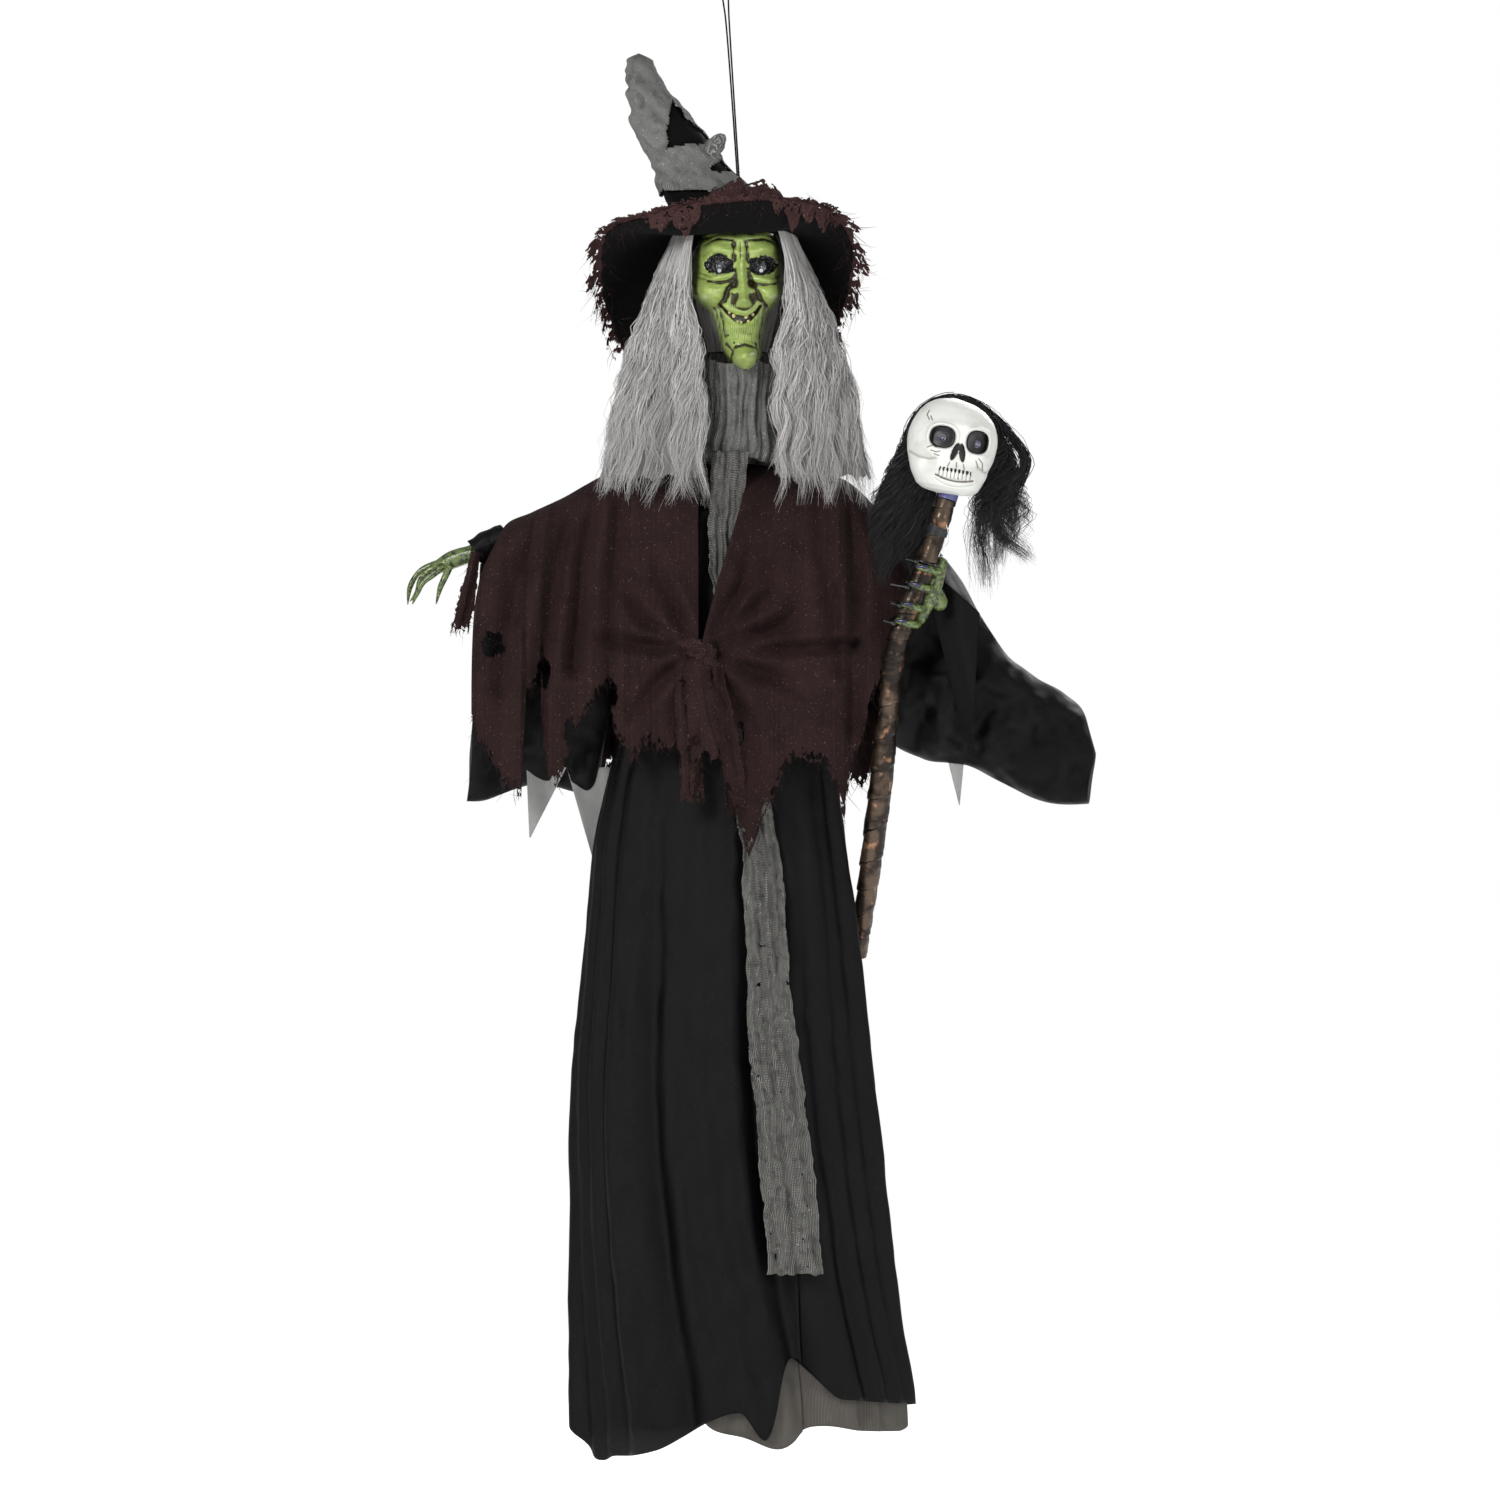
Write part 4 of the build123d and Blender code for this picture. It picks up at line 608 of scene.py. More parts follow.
creases = [  # (points, width, depth, darkness of the painted shade along the crease)
    ([(-6, -74), (-15, -82), (-21, -96), (-27, -102)], 1.9, 4.5, 1.0),
    ([(13, -74), (21, -84), (27, -96), (31, -102)], 1.9, 4.5, 1.0),
    ([(-8, -22), (-9, -44)], 1.5, 2.6, 0.9), ([(0, -22), (0, -42)], 1.3, 2.0, 0.8),
    ([(7, -20), (9, -42)], 1.6, 2.8, 0.95),
    ([(-46, -24), (-30, -16), (-10, -18)], 1.0, 1.6, 0.6),
    ([(-44, -15), (-24, -9), (-6, -10)], 0.9, 1.2, 0.5),
    ([(48, -24), (32, -16), (13, -18)], 1.0, 1.6, 0.6), ([(46, -15), (28, -9), (10, -10)], 0.9, 1.2, 0.5),
    ([(-41, -72), (-24, -74), (-11, -70)], 1.2, 1.6, 0.85),
    ([(44, -74), (30, -77), (14, -74)], 1.2, 1.6, 0.85),
    ([(-52, -60), (-38, -66)], 1.0, 1.0, 0.6), ([(-53, -66), (-39, -71)], 1.0, 1.0, 0.6),
    ([(52, -62), (43, -68)], 1.0, 1.0, 0.6), ([(53, -70), (44, -73)], 1.0, 1.0, 0.5),
    ([(-27, -104), (-23, -122), (-20, -142)], 1.4, 2.0, 0.7),
    ([(-33, -106), (-27, -128), (-24, -150)], 1.1, 1.4, 0.5),
    ([(33, -104), (30, -120), (25, -142)], 1.4, 2.0, 0.7), ([(38, -108), (32, -126)], 1.1, 1.4, 0.5),
    ([(-11, -88), (-6, -92)], 1.8, 2.5, 1.0), ([(17, -88), (12, -92)], 1.8, 2.5, 1.0),
    ([(-18, -152), (-10, -162), (-12, -178)], 1.5, 2.4, 0.7),
    ([(20, -152), (23, -164), (21, -176)], 1.4, 2.4, 0.65),
    ([(-6, -157), (6, -154), (17, -157)], 1.3, 1.6, 0.4),
]
mouth_line = [(-25, -103), (-17, -112), (-7, -119), (3, -121.5), (13, -119), (21, -111), (26, -103)]


def face_features(x, z):
    """Relief and paint of the face at spots (x, z): (height, darkening, socket, mouth); the darkening is painted
    shade in the creases, wrinkles and mouth, with two painted moles and a chin mark.
    """
    height = 1.25 * sum(h * hill(x, z, at, size, turn) for at, size, h, turn in bulges)
    shade_and_marks = np.zeros(x.shape)
    ridge = line_distance(x, z, nose_ridge)
    along = ease(-z, 36, 97)
    height += (9 + 19 * along**1.5) * np.exp(-((ridge / (4.4 + 3.6 * along)) ** 2)) * ease(z, -112, -101)
    # each crease is cut into the relief and painted darker along its line as painted shade
    for points, width, depth, dark in creases:
        away = line_distance(x, z, points)
        height -= 1.5 * depth * np.exp(-((away / (2.0 * width)) ** 2))
        shade_and_marks = np.maximum(shade_and_marks, dark * np.exp(-((away / (0.9 * width)) ** 2)))
    socket = np.zeros(x.shape)
    rough = layered_noise(np.stack([x, 0 * x, z], -1), 5.0, 3, 2)
    for side, (ex, ez) in zip((-1, 1), eye_spots):
        slant = ez + 0.1 * side * (x - ex)
        reach = ((x - ex) / 19.5) ** 2 + ((z - slant - 1.0) / np.where(z > slant, 14.5, 12.0)) ** 2
        reach += 0.3 * rough
        socket = np.maximum(socket, ease(1.15 - reach, 0.0, 0.45))
        height -= 9.0 * ease(1.2 - reach, 0.0, 1.0)
        height += 2.2 * rough * ease(1.2 - reach, 0.0, 0.5)
        height += 3.0 * hill(x, z, (ex, ez), (7, 6))
    gap = line_distance(x, z, mouth_line)
    middle = np.exp(-(((x - 2) / 17) ** 2))
    mouth = ease(1.6 + 4.2 * middle - gap, 0.0, 1.6)
    height -= 7.0 * mouth
    height += 2.4 * np.exp(-(((gap - 6.8 * middle - 2.4) / 2.2) ** 2))
    # the mouth's inside and the grooves of the lip and jaw wrinkles below are painted darker as painted shade
    shade_and_marks = np.maximum(shade_and_marks, 0.9 * mouth)
    wrinkle = 0.5 + 0.5 * np.sin(2.1 * x + 2.5 * flat_noise(z, 9.0))
    lips = (
        hill(x, z, (2, -135), (22, 11))
        + 0.8 * hill(x, z, (-10, -101), (9, 8))
        + 0.8 * hill(x, z, (16, -101), (9, 8))
    )
    height -= 1.3 * wrinkle**3 * lips
    shade_and_marks = np.maximum(shade_and_marks, 0.75 * wrinkle**4 * lips)
    side_lines = 0.5 + 0.5 * np.sin(1.25 * (x + 0.28 * np.abs(x) * ease(-z, 100, 170)) + 1.5)
    jaw = ease(-z, 102, 116) * (1 - ease(-z, 148, 164)) * ease(np.abs(x - 1), 14, 24)
    height -= 1.2 * side_lines**4 * jaw
    shade_and_marks = np.maximum(shade_and_marks, 0.6 * side_lines**6 * jaw)
    for spot in ((-16, -141), (-8, -151)):
        shade_and_marks = np.maximum(shade_and_marks, 1.3 * hill(x, z, spot, (1.5, 1.5)))
    mark = hill(x, z, (8, -170), (4.5, 2.5)) * (0.5 + 0.5 * np.sin(3 * x + 2 * z))
    return height, np.maximum(shade_and_marks, 0.6 * mark), socket, mouth


face_rows, face_columns = 330, 230
up = -np.linspace(0, 185, face_rows)[:, None]
turn = np.radians(np.linspace(-104, 104, face_columns))[None]
half = smooth(-up, [(-a, b) for a, b in face_widths])
depth = smooth(-up, [(-a, b) for a, b in face_depths])
middle_x = smooth(-up, [(-a, b) for a, b in face_middle])
face_local_x = middle_x + half * np.sin(turn)
face_y = -depth * np.sign(np.cos(turn)) * np.abs(np.cos(turn)) ** 0.8
face_local_z = up + 0 * turn
height, shade_and_marks, socket, mouth = face_features(face_local_x, face_local_z)
fine = layered_noise(np.stack([face_local_x, face_y, face_local_z], -1), 5.0, 3)
facing = ease(np.cos(turn), 0.05, 0.55)
carving = layered_noise(np.stack([0.6 * face_local_x, face_y, 1.7 * face_local_z], -1), 9.0, 3, 9)
height = (height + 0.35 * fine + 0.7 * carving) * facing
outward = np.sin(turn) * 0.35 * height
face_surface = np.stack([face_x + face_local_x + outward * 0.4, face_y - height, face_top + face_local_z], -1)
slope = np.abs(np.gradient(height, axis=1)) + np.abs(np.gradient(height, axis=0))
blur = sum(np.roll(height, (a, b), (0, 1)) for a in (-8, 0, 8) for b in (-8, 0, 8)) / 9
# hollow: how far a spot lies below its blurred surroundings, used below for painted shade
hollow = np.clip((blur - height) / 1.6, 0, 1)
shade = np.clip(0.7 * hollow + 0.35 * (np.abs(np.sin(turn)) ** 3 + 0 * up), 0, 1)
# the dark brown layer gets the hollows' painted shade on top of the creases' and the mouth's; shade is painted
# shade in the hollows and on the sides turned away
face = mesh("witch_face", face_surface, grid_faces(face_rows, face_columns), face_paint,
            {"shade_and_marks": np.clip(np.maximum(shade_and_marks, 0.8 * hollow**2), 0, 1), "socket": socket, "shade": shade})
shell = face.modifiers.new("thickness", "SOLIDIFY")
shell.thickness = 1.5 * MM
shell.offset = -1
place(face, "head", "face_paint", "face_mask")


def face_spot(x, z):
    """The face's surface point in front of a spot."""
    i = np.argmin((face_local_x - x) ** 2 + (face_local_z - z) ** 2 + 1e3 * (np.cos(turn) < 0.2))
    return face_surface.reshape(-1, 3)[i]


lens_parts = []
for ex, ez in eye_spots:
    spot = face_spot(ex, ez)
    lens_parts.append(ball_parts(spot + (0, 0.5, 0), (3.6, 3.0, 3.6)))
    ring = np.linspace(0, 2 * PI, 30)
    circle = spot + np.stack([4.4 * np.cos(ring), -0.8 + 0 * ring, 4.4 * np.sin(ring)], -1)
    lens_parts.append(tube_parts(circle, 0.8, 8)[:2])
lenses = mesh("eye_lenses_clear", *joined(lens_parts), lens_finish)
place(lenses, "head", "clear_lens", "eye_lenses")

tooth_parts = []
for tx, tz, size in ((-14, -111.5, 2.0), (-8.5, -116, 2.4), (1, -125, 1.9), (7.5, -117, 2.7),
                     (10.5, -123.5, 2.0), (16.5, -114, 2.1), (-3.5, -124, 1.9)):
    tooth_parts.append(ball_parts(face_spot(tx, tz) + (0, -1.2, 0), (size, 1.8, size * 1.25)))
teeth = mesh("witch_teeth", *joined(tooth_parts), teeth_finish)
place(teeth, "head", "face_paint")


# ------------------------------------------------------------------ grey wig
def falling_locks(count, steps, length, spots, wave, spread, clumps):
    """Strands that follow wandering clumps; spots(a, t) gives the clump's line at a across and t down."""
    centre = random.uniform(0, 1, clumps)
    wander = random.normal(0, 1, (clumps, 4))
    own = random.integers(0, clumps, count)
    loose = random.uniform(0, 1, count) < 0.05
    t = np.linspace(0, 1, steps)[None]
    reach = random.uniform(0.72, 1.0, count) * (0.9 + 0.13 * np.sin(wander[own, 3] * 3))
    along = t * reach[:, None]
    depth = random.normal(0, 1, count)
    gather = spread * (1 - 0.6 * along) * np.where(loose, 2.5, 1.0)[:, None]
    across = np.clip(centre[own][:, None] + gather * random.normal(0, 1, (count, 1)), 0, 1)
    paths = spots(across, along)
    phase = wander[own, 0][:, None] * PI + random.normal(0, 0.35, (count, 1))
    beat = 2 * PI * along * length / (wave * (1 + 0.2 * np.tanh(wander[own, 1]))[:, None])
    swing = ease(along, 0.05, 0.5) * (4.0 + 3.0 * np.abs(wander[own, 1])[:, None])
    paths[..., 0] += swing * np.sin(beat + phase) + random.normal(0, 2.5, (count, 1)) * along
    paths[..., 1] += (
        0.7 * swing * np.cos(beat + phase)
        + 3.0 * depth[:, None]
        - 2.5 * wander[own, 2][:, None] * along
    )
    frizz = random.normal(0, 2.5, paths.shape) * np.where(loose, 2.0, 1.0)[:, None, None]
    frizz = (frizz + np.roll(frizz, 1, 1) + np.roll(frizz, -1, 1)) / 2
    # strands and clumps set further back are given a lower tone, painted shade inside the hair, with random
    # differences on top
    tone = 0.52 - 0.16 * depth + 0.14 * wander[own, 2] + random.normal(0, 0.14, count)
    return paths + frizz * ease(along, 0.0, 0.3)[..., None], tone


hair_top = face_top - 2
hair_low = locks_low[2] - 2
hair_len = hair_top - hair_low
left_edges = [(0, -58, -84), (0.1, -64, -98), (0.26, -67, -118), (0.47, -52, -144), (0.76, -48, -170),
              (1, -44, -190)]
right_edges = [(0, 50, 72), (0.1, 60, 86), (0.26, 64, 108), (0.47, 50, 135), (0.76, 48, 161), (1, 42, 182)]


def curtain(edges, bulge=1.0):
    """Where the hair beside the face falls: a is 0 next to the face and 1 outside."""
    def spots(a, t):
        pair = smooth(t + 0 * a, edges)
        x = face_x - 2 + pair[..., 0] + (pair[..., 1] - pair[..., 0]) * a
        front = smooth(t + 0 * a, [(0, -46), (0.2, -60), (0.45, -66), (0.7, -82), (1, -92)])
        y = front * bulge + 78 * a**1.7 * (1 - 0.25 * t)
        return np.stack([x, y, hair_top - t * hair_len + 0 * a], -1)
    return spots


def back_fall(a, t):
    """Where the hair at the back falls, from one side to the other."""
    angle = PI * (0.14 + 0.72 * a)
    wide = smooth(t + 0 * a, [(0, 50), (0.2, 92), (0.5, 118), (1, 142)])
    deep = smooth(t + 0 * a, [(0, 52), (0.2, 82), (0.5, 88), (1, 98)])
    return np.stack([face_x - wide * np.cos(angle), 6 + deep * np.sin(angle) ** 0.7,
                     hair_top - t * hair_len], -1)


def under_hair(spots, inward, columns=46, rows=70):
    """A grooved sheet that fills the hair between its strands."""
    a = np.linspace(0.02, 0.98, columns)[None]
    t = np.linspace(0.02, 0.91, rows)[:, None]
    surface = spots(a + 0 * t, t + 0 * a)
    ragged = 0.04 * flat_noise(np.linspace(0, 60, columns), 2.0, 5)[None] * ease(t, 0.6, 1)
    surface[..., 2] -= ragged * hair_len
    groove = flat_noise(np.broadcast_to(a * 60, surface.shape[:2]) + 3 * np.sin(4 * t), 1.3, 3)
    surface[..., 1] += inward * (6 + 3.0 * groove)
    return surface, 0.25 + 0.25 * groove


hair_blend_top = (face_x * MM, 0, (locks_high[2] + 30) * MM)
hair_blend_low = (face_x * MM, 0, (locks_high[2] - 30) * MM)
hair_blend = ("body_frame", "head", hair_blend_low, hair_blend_top)
hair_specs = [
    ("hair_left", curtain(left_edges), 5200, ("wig_crown",), (-0.3, -1, 0)),
    ("hair_right", curtain(right_edges), 5200, ("wig_locks",), (0.3, -1, 0)),
    ("hair_back", back_fall, 5200, (), (0, 1, 0)),
]
for name, spots, count, stands_for, faces_to in hair_specs:
    fill, tone = under_hair(spots, -faces_to[1])
    # the fill behind the strands gets half their tone: painted shade of the hair lying behind
    fill_obj = mesh(name + "_fill", fill, grid_faces(*fill.shape[:2]), grey_hair, {"tone": 0.5 * tone})
    place(fill_obj, hair_blend, "grey_hair", *stands_for)
    paths, tone = falling_locks(count, 15, hair_len, spots, 88.0, 0.03, 46)
    strands = strand_ribbons(name, paths, 0.85, grey_hair, faces_to, tone)
    place(strands, hair_blend, "grey_hair")

cap_turn = np.linspace(0, 2 * PI, 160, endpoint=False)[None]
cap_share = np.linspace(0, 1, 90)[:, None]
cap_sizes = [(0, 4, 4), (0.06, 34, 30), (0.16, 50, 46), (0.4, 57, 54), (0.7, 50, 48), (1, 38, 36)]
cap_half, cap_deep = np.moveaxis(smooth(cap_share + 0 * cap_turn, cap_sizes), -1, 0)
cap_ring = np.stack(np.broadcast_arrays(60 * np.sin(cap_turn), 60 * np.cos(cap_turn), 14 * cap_share), -1)
cap_groove = noise(cap_ring, 3.0, 4)
cap_points = np.stack([
    face_x - 3 + (cap_half + 1.5 * cap_groove) * np.sin(cap_turn),
    20 - (cap_deep + 1.5 * cap_groove) * np.cos(cap_turn),
    face_top + 8 - 168 * cap_share + 0 * cap_turn,
], -1)
# the cap's tone is low and falls further where its grooves sink in: painted shade under the hair
wig_cap = mesh("wig_cap", cap_points, grid_faces(90, 160, True), grey_hair, {"tone": 0.18 + 0.3 * cap_groove})
place(wig_cap, "head", "grey_hair", "head_back")
plate_turn = np.linspace(0, 2 * PI, 60, endpoint=False)[None]
plate_low, plate_high = node_box("head_plate")
plate_r = np.array([4.0, 29, 30, 30, 29, 4.0])[:, None]
plate_z = np.array([1.0, 1, 0.8, 0.2, 0, 0])[:, None] * (plate_high[2] - plate_low[2]) + plate_low[2]
plate_points = np.stack([face_x + plate_r * np.sin(plate_turn), -1.4 * plate_r * np.cos(plate_turn),
                         plate_z + 0 * plate_turn], -1)
inner_plate = mesh("head_inner_plate", plate_points, grid_faces(6, 60, True), black_nylon)
place(inner_plate, "head", "housing", "head_plate")


# ------------------------------------------------------------------ hat
hat_keys = [  # (height, middle across, radius) of the bent cone
    (-328, -1, 73), (-318, -1, 73), (-300, -7, 69), (-289, -18, 63), (-276, -29, 55), (-264, -37, 49),
    (-239, -49, 44), (-210, -69, 43), (-186, -83, 34), (-162, -95, 25), (-135, -106, 17), (-115, -111, 12),
    (-104, -113, 9),
]
cone_rows, cone_columns = 90, 120
cone_z = np.linspace(hat_keys[0][0], hat_keys[-1][0], cone_rows)[:, None]
around = np.linspace(0, 2 * PI, cone_columns, endpoint=False)[None]


def cone_surface(grow, crumple, seed):
    """The bent cone grown by a little and crumpled."""
    keys = smooth(cone_z, hat_keys)
    radius = keys[..., 1] + grow
    base = np.stack([keys[..., 0] + radius * np.cos(around), radius * 0.92 * np.sin(around) + 0 * cone_z,
                     cone_z + 0 * around], -1)
    ripple = layered_noise(base * (1, 1, 1.6), 26.0, 3, seed) * crumple
    base[..., 0] += ripple * np.cos(around)
    base[..., 1] += ripple * np.sin(around)
    return base


def close_top(surface):
    """Draws the last rows of a tube in to its tip."""
    for k, share in ((-3, 0.85), (-2, 0.6), (-1, 0.08)):
        middle = surface[k].mean(0)
        surface[k] = middle + (surface[k] - middle) * share
    surface[-1, :, 2] += 1.5
    return surface


cone = cloth("hat_crown", close_top(cone_surface(-1.5, 1.2, 4)), black_felt, wrap=True)
place(cone, "head", "hat_cloth", "hat_cone")
declare_sheet(cone)

gauze = close_top(cone_surface(5.0, 3.0, 9))
diagonal = np.sin((gauze[..., 0] * 0.75 + gauze[..., 2]) / 4.2 + 2.0 * noise(gauze, 30.0, 3))
gauze[..., 1] += 2.0 * diagonal * np.sin(around)
gauze[..., 0] += 2.0 * diagonal * np.cos(around)


def in_corner_shape(x, z, corners):
    """True inside a convex outline whose corners run clockwise."""
    inside = np.ones(x.shape, bool)
    for (ax, az), (bx, bz) in zip(corners, corners[1:] + corners[:1]):
        inside &= (bx - ax) * (z - az) - (bz - az) * (x - ax) <= 0
    return inside


wobble = 5 * layered_noise(gauze, 14.0, 2, 2)
front_x, front_z = gauze[..., 0] + wobble, gauze[..., 2] + wobble
bare_patches = [[(-74, -158), (-14, -218), (-36, -226), (-78, -228), (-74, -190)],
                [(-2, -240), (24, -266), (-22, -256)]]
bare = np.zeros(front_x.shape, bool)
for corners in bare_patches:
    bare |= in_corner_shape(front_x, front_z, corners)
bare &= gauze[..., 1] < 12
edge_z = -286 + 6 * noise(gauze, 30.0, 7)
gauze_keep = (gauze[..., 2] > edge_z) & ~bare
hat_gauze = cloth("hat_gauze_wrap", gauze, grey_gauze, keep=gauze_keep, wrap=True, thickness=1.6)
place(hat_gauze, "head", "gauze", "hat_gauze")

ear_points, ear_faces = ball_parts((-12, -34, -226), (12, 8, 18), 40, 48)
ear_points[:, 0] += 0.25 * (ear_points[:, 2] + 224)
ear_points += 3.2 * np.stack([layered_noise(ear_points, 11.0, 2, k) for k in (1, 3, 5)], -1)
hat_loop = mesh("hat_gauze_knot", ear_points, ear_faces, grey_gauze, None, {"thread": ear_points * MM})
place(hat_loop, "head", "gauze")
declare_sheet(hat_gauze)

brim_keys = [  # (turn from the front, across, forward, height) of the brim's edge
    (-180, 6, 128, -496), (-155, -124, 108, -486), (-135, -150, 80, -440), (-110, -160, 36, -398),
    (-85, -156, -22, -346), (-62, -134, -62, -326), (-40, -88, -92, -318), (-16, -18, -112, -303),
    (0, 20, -114, -301), (22, 60, -110, -301), (45, 106, -90, -306), (65, 140, -56, -316),
    (88, 164, -14, -352), (112, 162, 36, -396), (135, 152, 78, -430), (155, 132, 106, -462),
    (180, 6, 128, -496),
]
brim_columns, brim_rows = 320, 34
brim_turn = np.linspace(-180, 180, brim_columns)[None]
brim_share = np.linspace(0, 1, brim_rows)[:, None]


def brim_surface(turn, share):
    """The hat's brim: turned up in front, drooping at the sides and back."""
    edge = smooth(turn + 0 * share, brim_keys)
    angle = np.radians(turn + 0 * share)
    ring = np.stack([face_x - 20 + 68 * np.sin(angle), -2 - 64 * np.cos(angle),
                     -330 - 7 * np.cos(angle) + 4 * np.cos(2 * angle)], -1)
    bend = ring + (edge - ring) * np.array([0.62, 0.62, 0.12])
    bend[..., 2] -= 26 * (1 - ease(np.abs(turn + 8 + 0 * share), 20, 75))
    s = share[..., None]
    surface = (1 - s) ** 2 * ring + 2 * s * (1 - s) * bend + s**2 * edge
    surface[..., 2] += 3.0 * s[..., 0] * noise(surface, 60.0, 6)
    return surface


brim = cloth("hat_brim_cloth", brim_surface(brim_turn, brim_share), black_felt, thickness=2.4)
place(brim, "head", "hat_cloth", "hat_brim")
declare_sheet(brim)

rag_columns, rag_rows = 900, 44
rag_turn = np.linspace(-180, 180, rag_columns)[None]
rag_reach = np.linspace(-1, 1, rag_rows)[:, None]
rag_edge = brim_surface(rag_turn, np.ones((1, 1)))
rag_inner = brim_surface(rag_turn, np.full((1, 1), 0.86))
outward_way = rag_edge - rag_inner
outward_way /= np.linalg.norm(outward_way, axis=-1, keepdims=True)
fringe = (
    13
    + 9 * flat_noise(rag_turn, 7.0, 2)
    + 7 * flat_noise(rag_turn, 2.0, 3)
    + 5 * flat_noise(rag_turn, 0.8, 4)
)
fringe = fringe * (0.55 + 0.75 * ease(np.abs(rag_turn), 40, 100))
covered = 12 + 9 * flat_noise(rag_turn, 14.0, 5) + 4 * flat_noise(rag_turn, 1.5, 6)
rag_step = np.where(rag_reach < 0, rag_reach * 26, rag_reach * 30)
rags = rag_edge + outward_way * rag_step[..., None]
rags[..., 2] += 2.6 - np.where(rag_reach > 0, 0.018 * rag_step**2, 0.0)
rags += 2.2 * np.stack([noise(rags, 8.0, k) for k in (4, 5, 6)], -1)
rag_holes = layered_noise(rags, 5.0, 2, 8) > np.where(rag_step > 4, 0.22, 0.75)
rag_keep = (rag_step < fringe) & (rag_step > -covered) & ~rag_holes
hat_rags = cloth("hat_rag_net", rags, rag_net, keep=rag_keep, thickness=0.9)
place(hat_rags, "head", "rag", "hat_rags")

flap_specs = [  # (turn, width, lowest share, hang) of rags thrown over the turned-up front
    (-38, 12, 20, 26), (-27, 10, 26, 40), (26, 8, 14, 20), (36, 9, 18, 40), (46, 9, 18, 26), (56, 10, 12, 34),
    (66, 9, 12, 16)]
for number, (at, width, rise, hang) in enumerate(flap_specs):
    u = np.linspace(-1, 1, 40)[None]
    v = np.linspace(0, 1, 36)[:, None]
    top_edge = brim_surface(at + u * width / 1.2, np.ones((1, 1)))
    drop = hang * (1 - np.abs(u) ** 1.3) + 3 * flat_noise(u * 9 + number, 0.8, 3)
    flap = top_edge + np.zeros((36, 1, 1))
    over_edge = (v - 0.35) / 0.65
    flap[..., 2] = top_edge[..., 2] + 3.0 - np.where(over_edge > 0, over_edge * drop, 0) + 0 * v
    flap[..., 1] += np.where(over_edge > 0, -4.0 + 8 * over_edge, -4 - over_edge * rise)
    flap += 1.6 * np.stack([noise(flap, 7.0, number + k) for k in (1, 2, 3)], -1)
    holes = layered_noise(flap, 4.5, 2, 11 + number) > 0.55
    flap_obj = cloth(f"hat_rag_flap_{number}", flap, rag_net, keep=~holes, thickness=0.9)
    place(flap_obj, "head", "rag")

heap_u = np.linspace(0, 1, 150)[None]
heap_v = np.linspace(0, 1, 40)[:, None]
heap_angle = np.radians(-44 + 130 * heap_u)
heap_rise = 42 * np.sin(PI * np.clip(heap_u, 0.02, 0.98)) ** 0.5 + 6 * flat_noise(heap_u * 150, 7.0, 3)
heap = np.stack([
    face_x - 8 + (60 + 10 * np.sin(PI * heap_v)) * np.sin(heap_angle),
    -4 - (66 + 16 * np.sin(PI * heap_v)) * np.cos(heap_angle),
    -312 + heap_rise * heap_v + 0 * heap_u,
], -1)
heap += 3.5 * np.stack([layered_noise(heap, 16.0, 3, k) for k in (1, 4, 7)], -1)
heap_keep = (
    ~((heap_v > 0.8) & (layered_noise(heap, 4.5, 2, 3) > 0.1))
    & (layered_noise(heap, 5.0, 2, 12) < 0.9)
)
rag_heap = cloth("hat_rag_heap", heap, rag_net, keep=heap_keep, thickness=1.0)
place(rag_heap, "head", "rag")
rag_threads = rim_threads("hat_rag_threads", rags, rag_keep, 1500, 22, rag_net)
place(rag_threads, "head", "rag")
declare_sheet(hat_rags)


# ------------------------------------------------------------------ gown and lining
gown_edges = [  # (height, left side, right side, half depth)
    (-1936, -206, 252, 116), (-1850, -206, 249, 116), (-1761, -205, 235, 113), (-1600, -204, 219, 106),
    (-1436, -200, 202, 98), (-1250, -184, 180, 88), (-1100, -168, 158, 82), (-950, -132, 140, 74),
    (-800, -96, 112, 64), (-700, -74, 94, 58),
]
hem_front = [(-215, -1846), (-190, -1912), (-150, -1916), (-95, -1908), (-40, -1878), (20, -1858),
             (66, -1872), (74, -1838), (160, -1842), (255, -1852)]
hem_back = [(-215, -1860), (-100, -1895), (0, -1880), (120, -1890), (255, -1856)]
lining_front = [(-215, -1820), (-60, -1840), (-36, -1868), (30, -1892), (76, -1906), (130, -1878),
                (190, -1884), (255, -1888)]


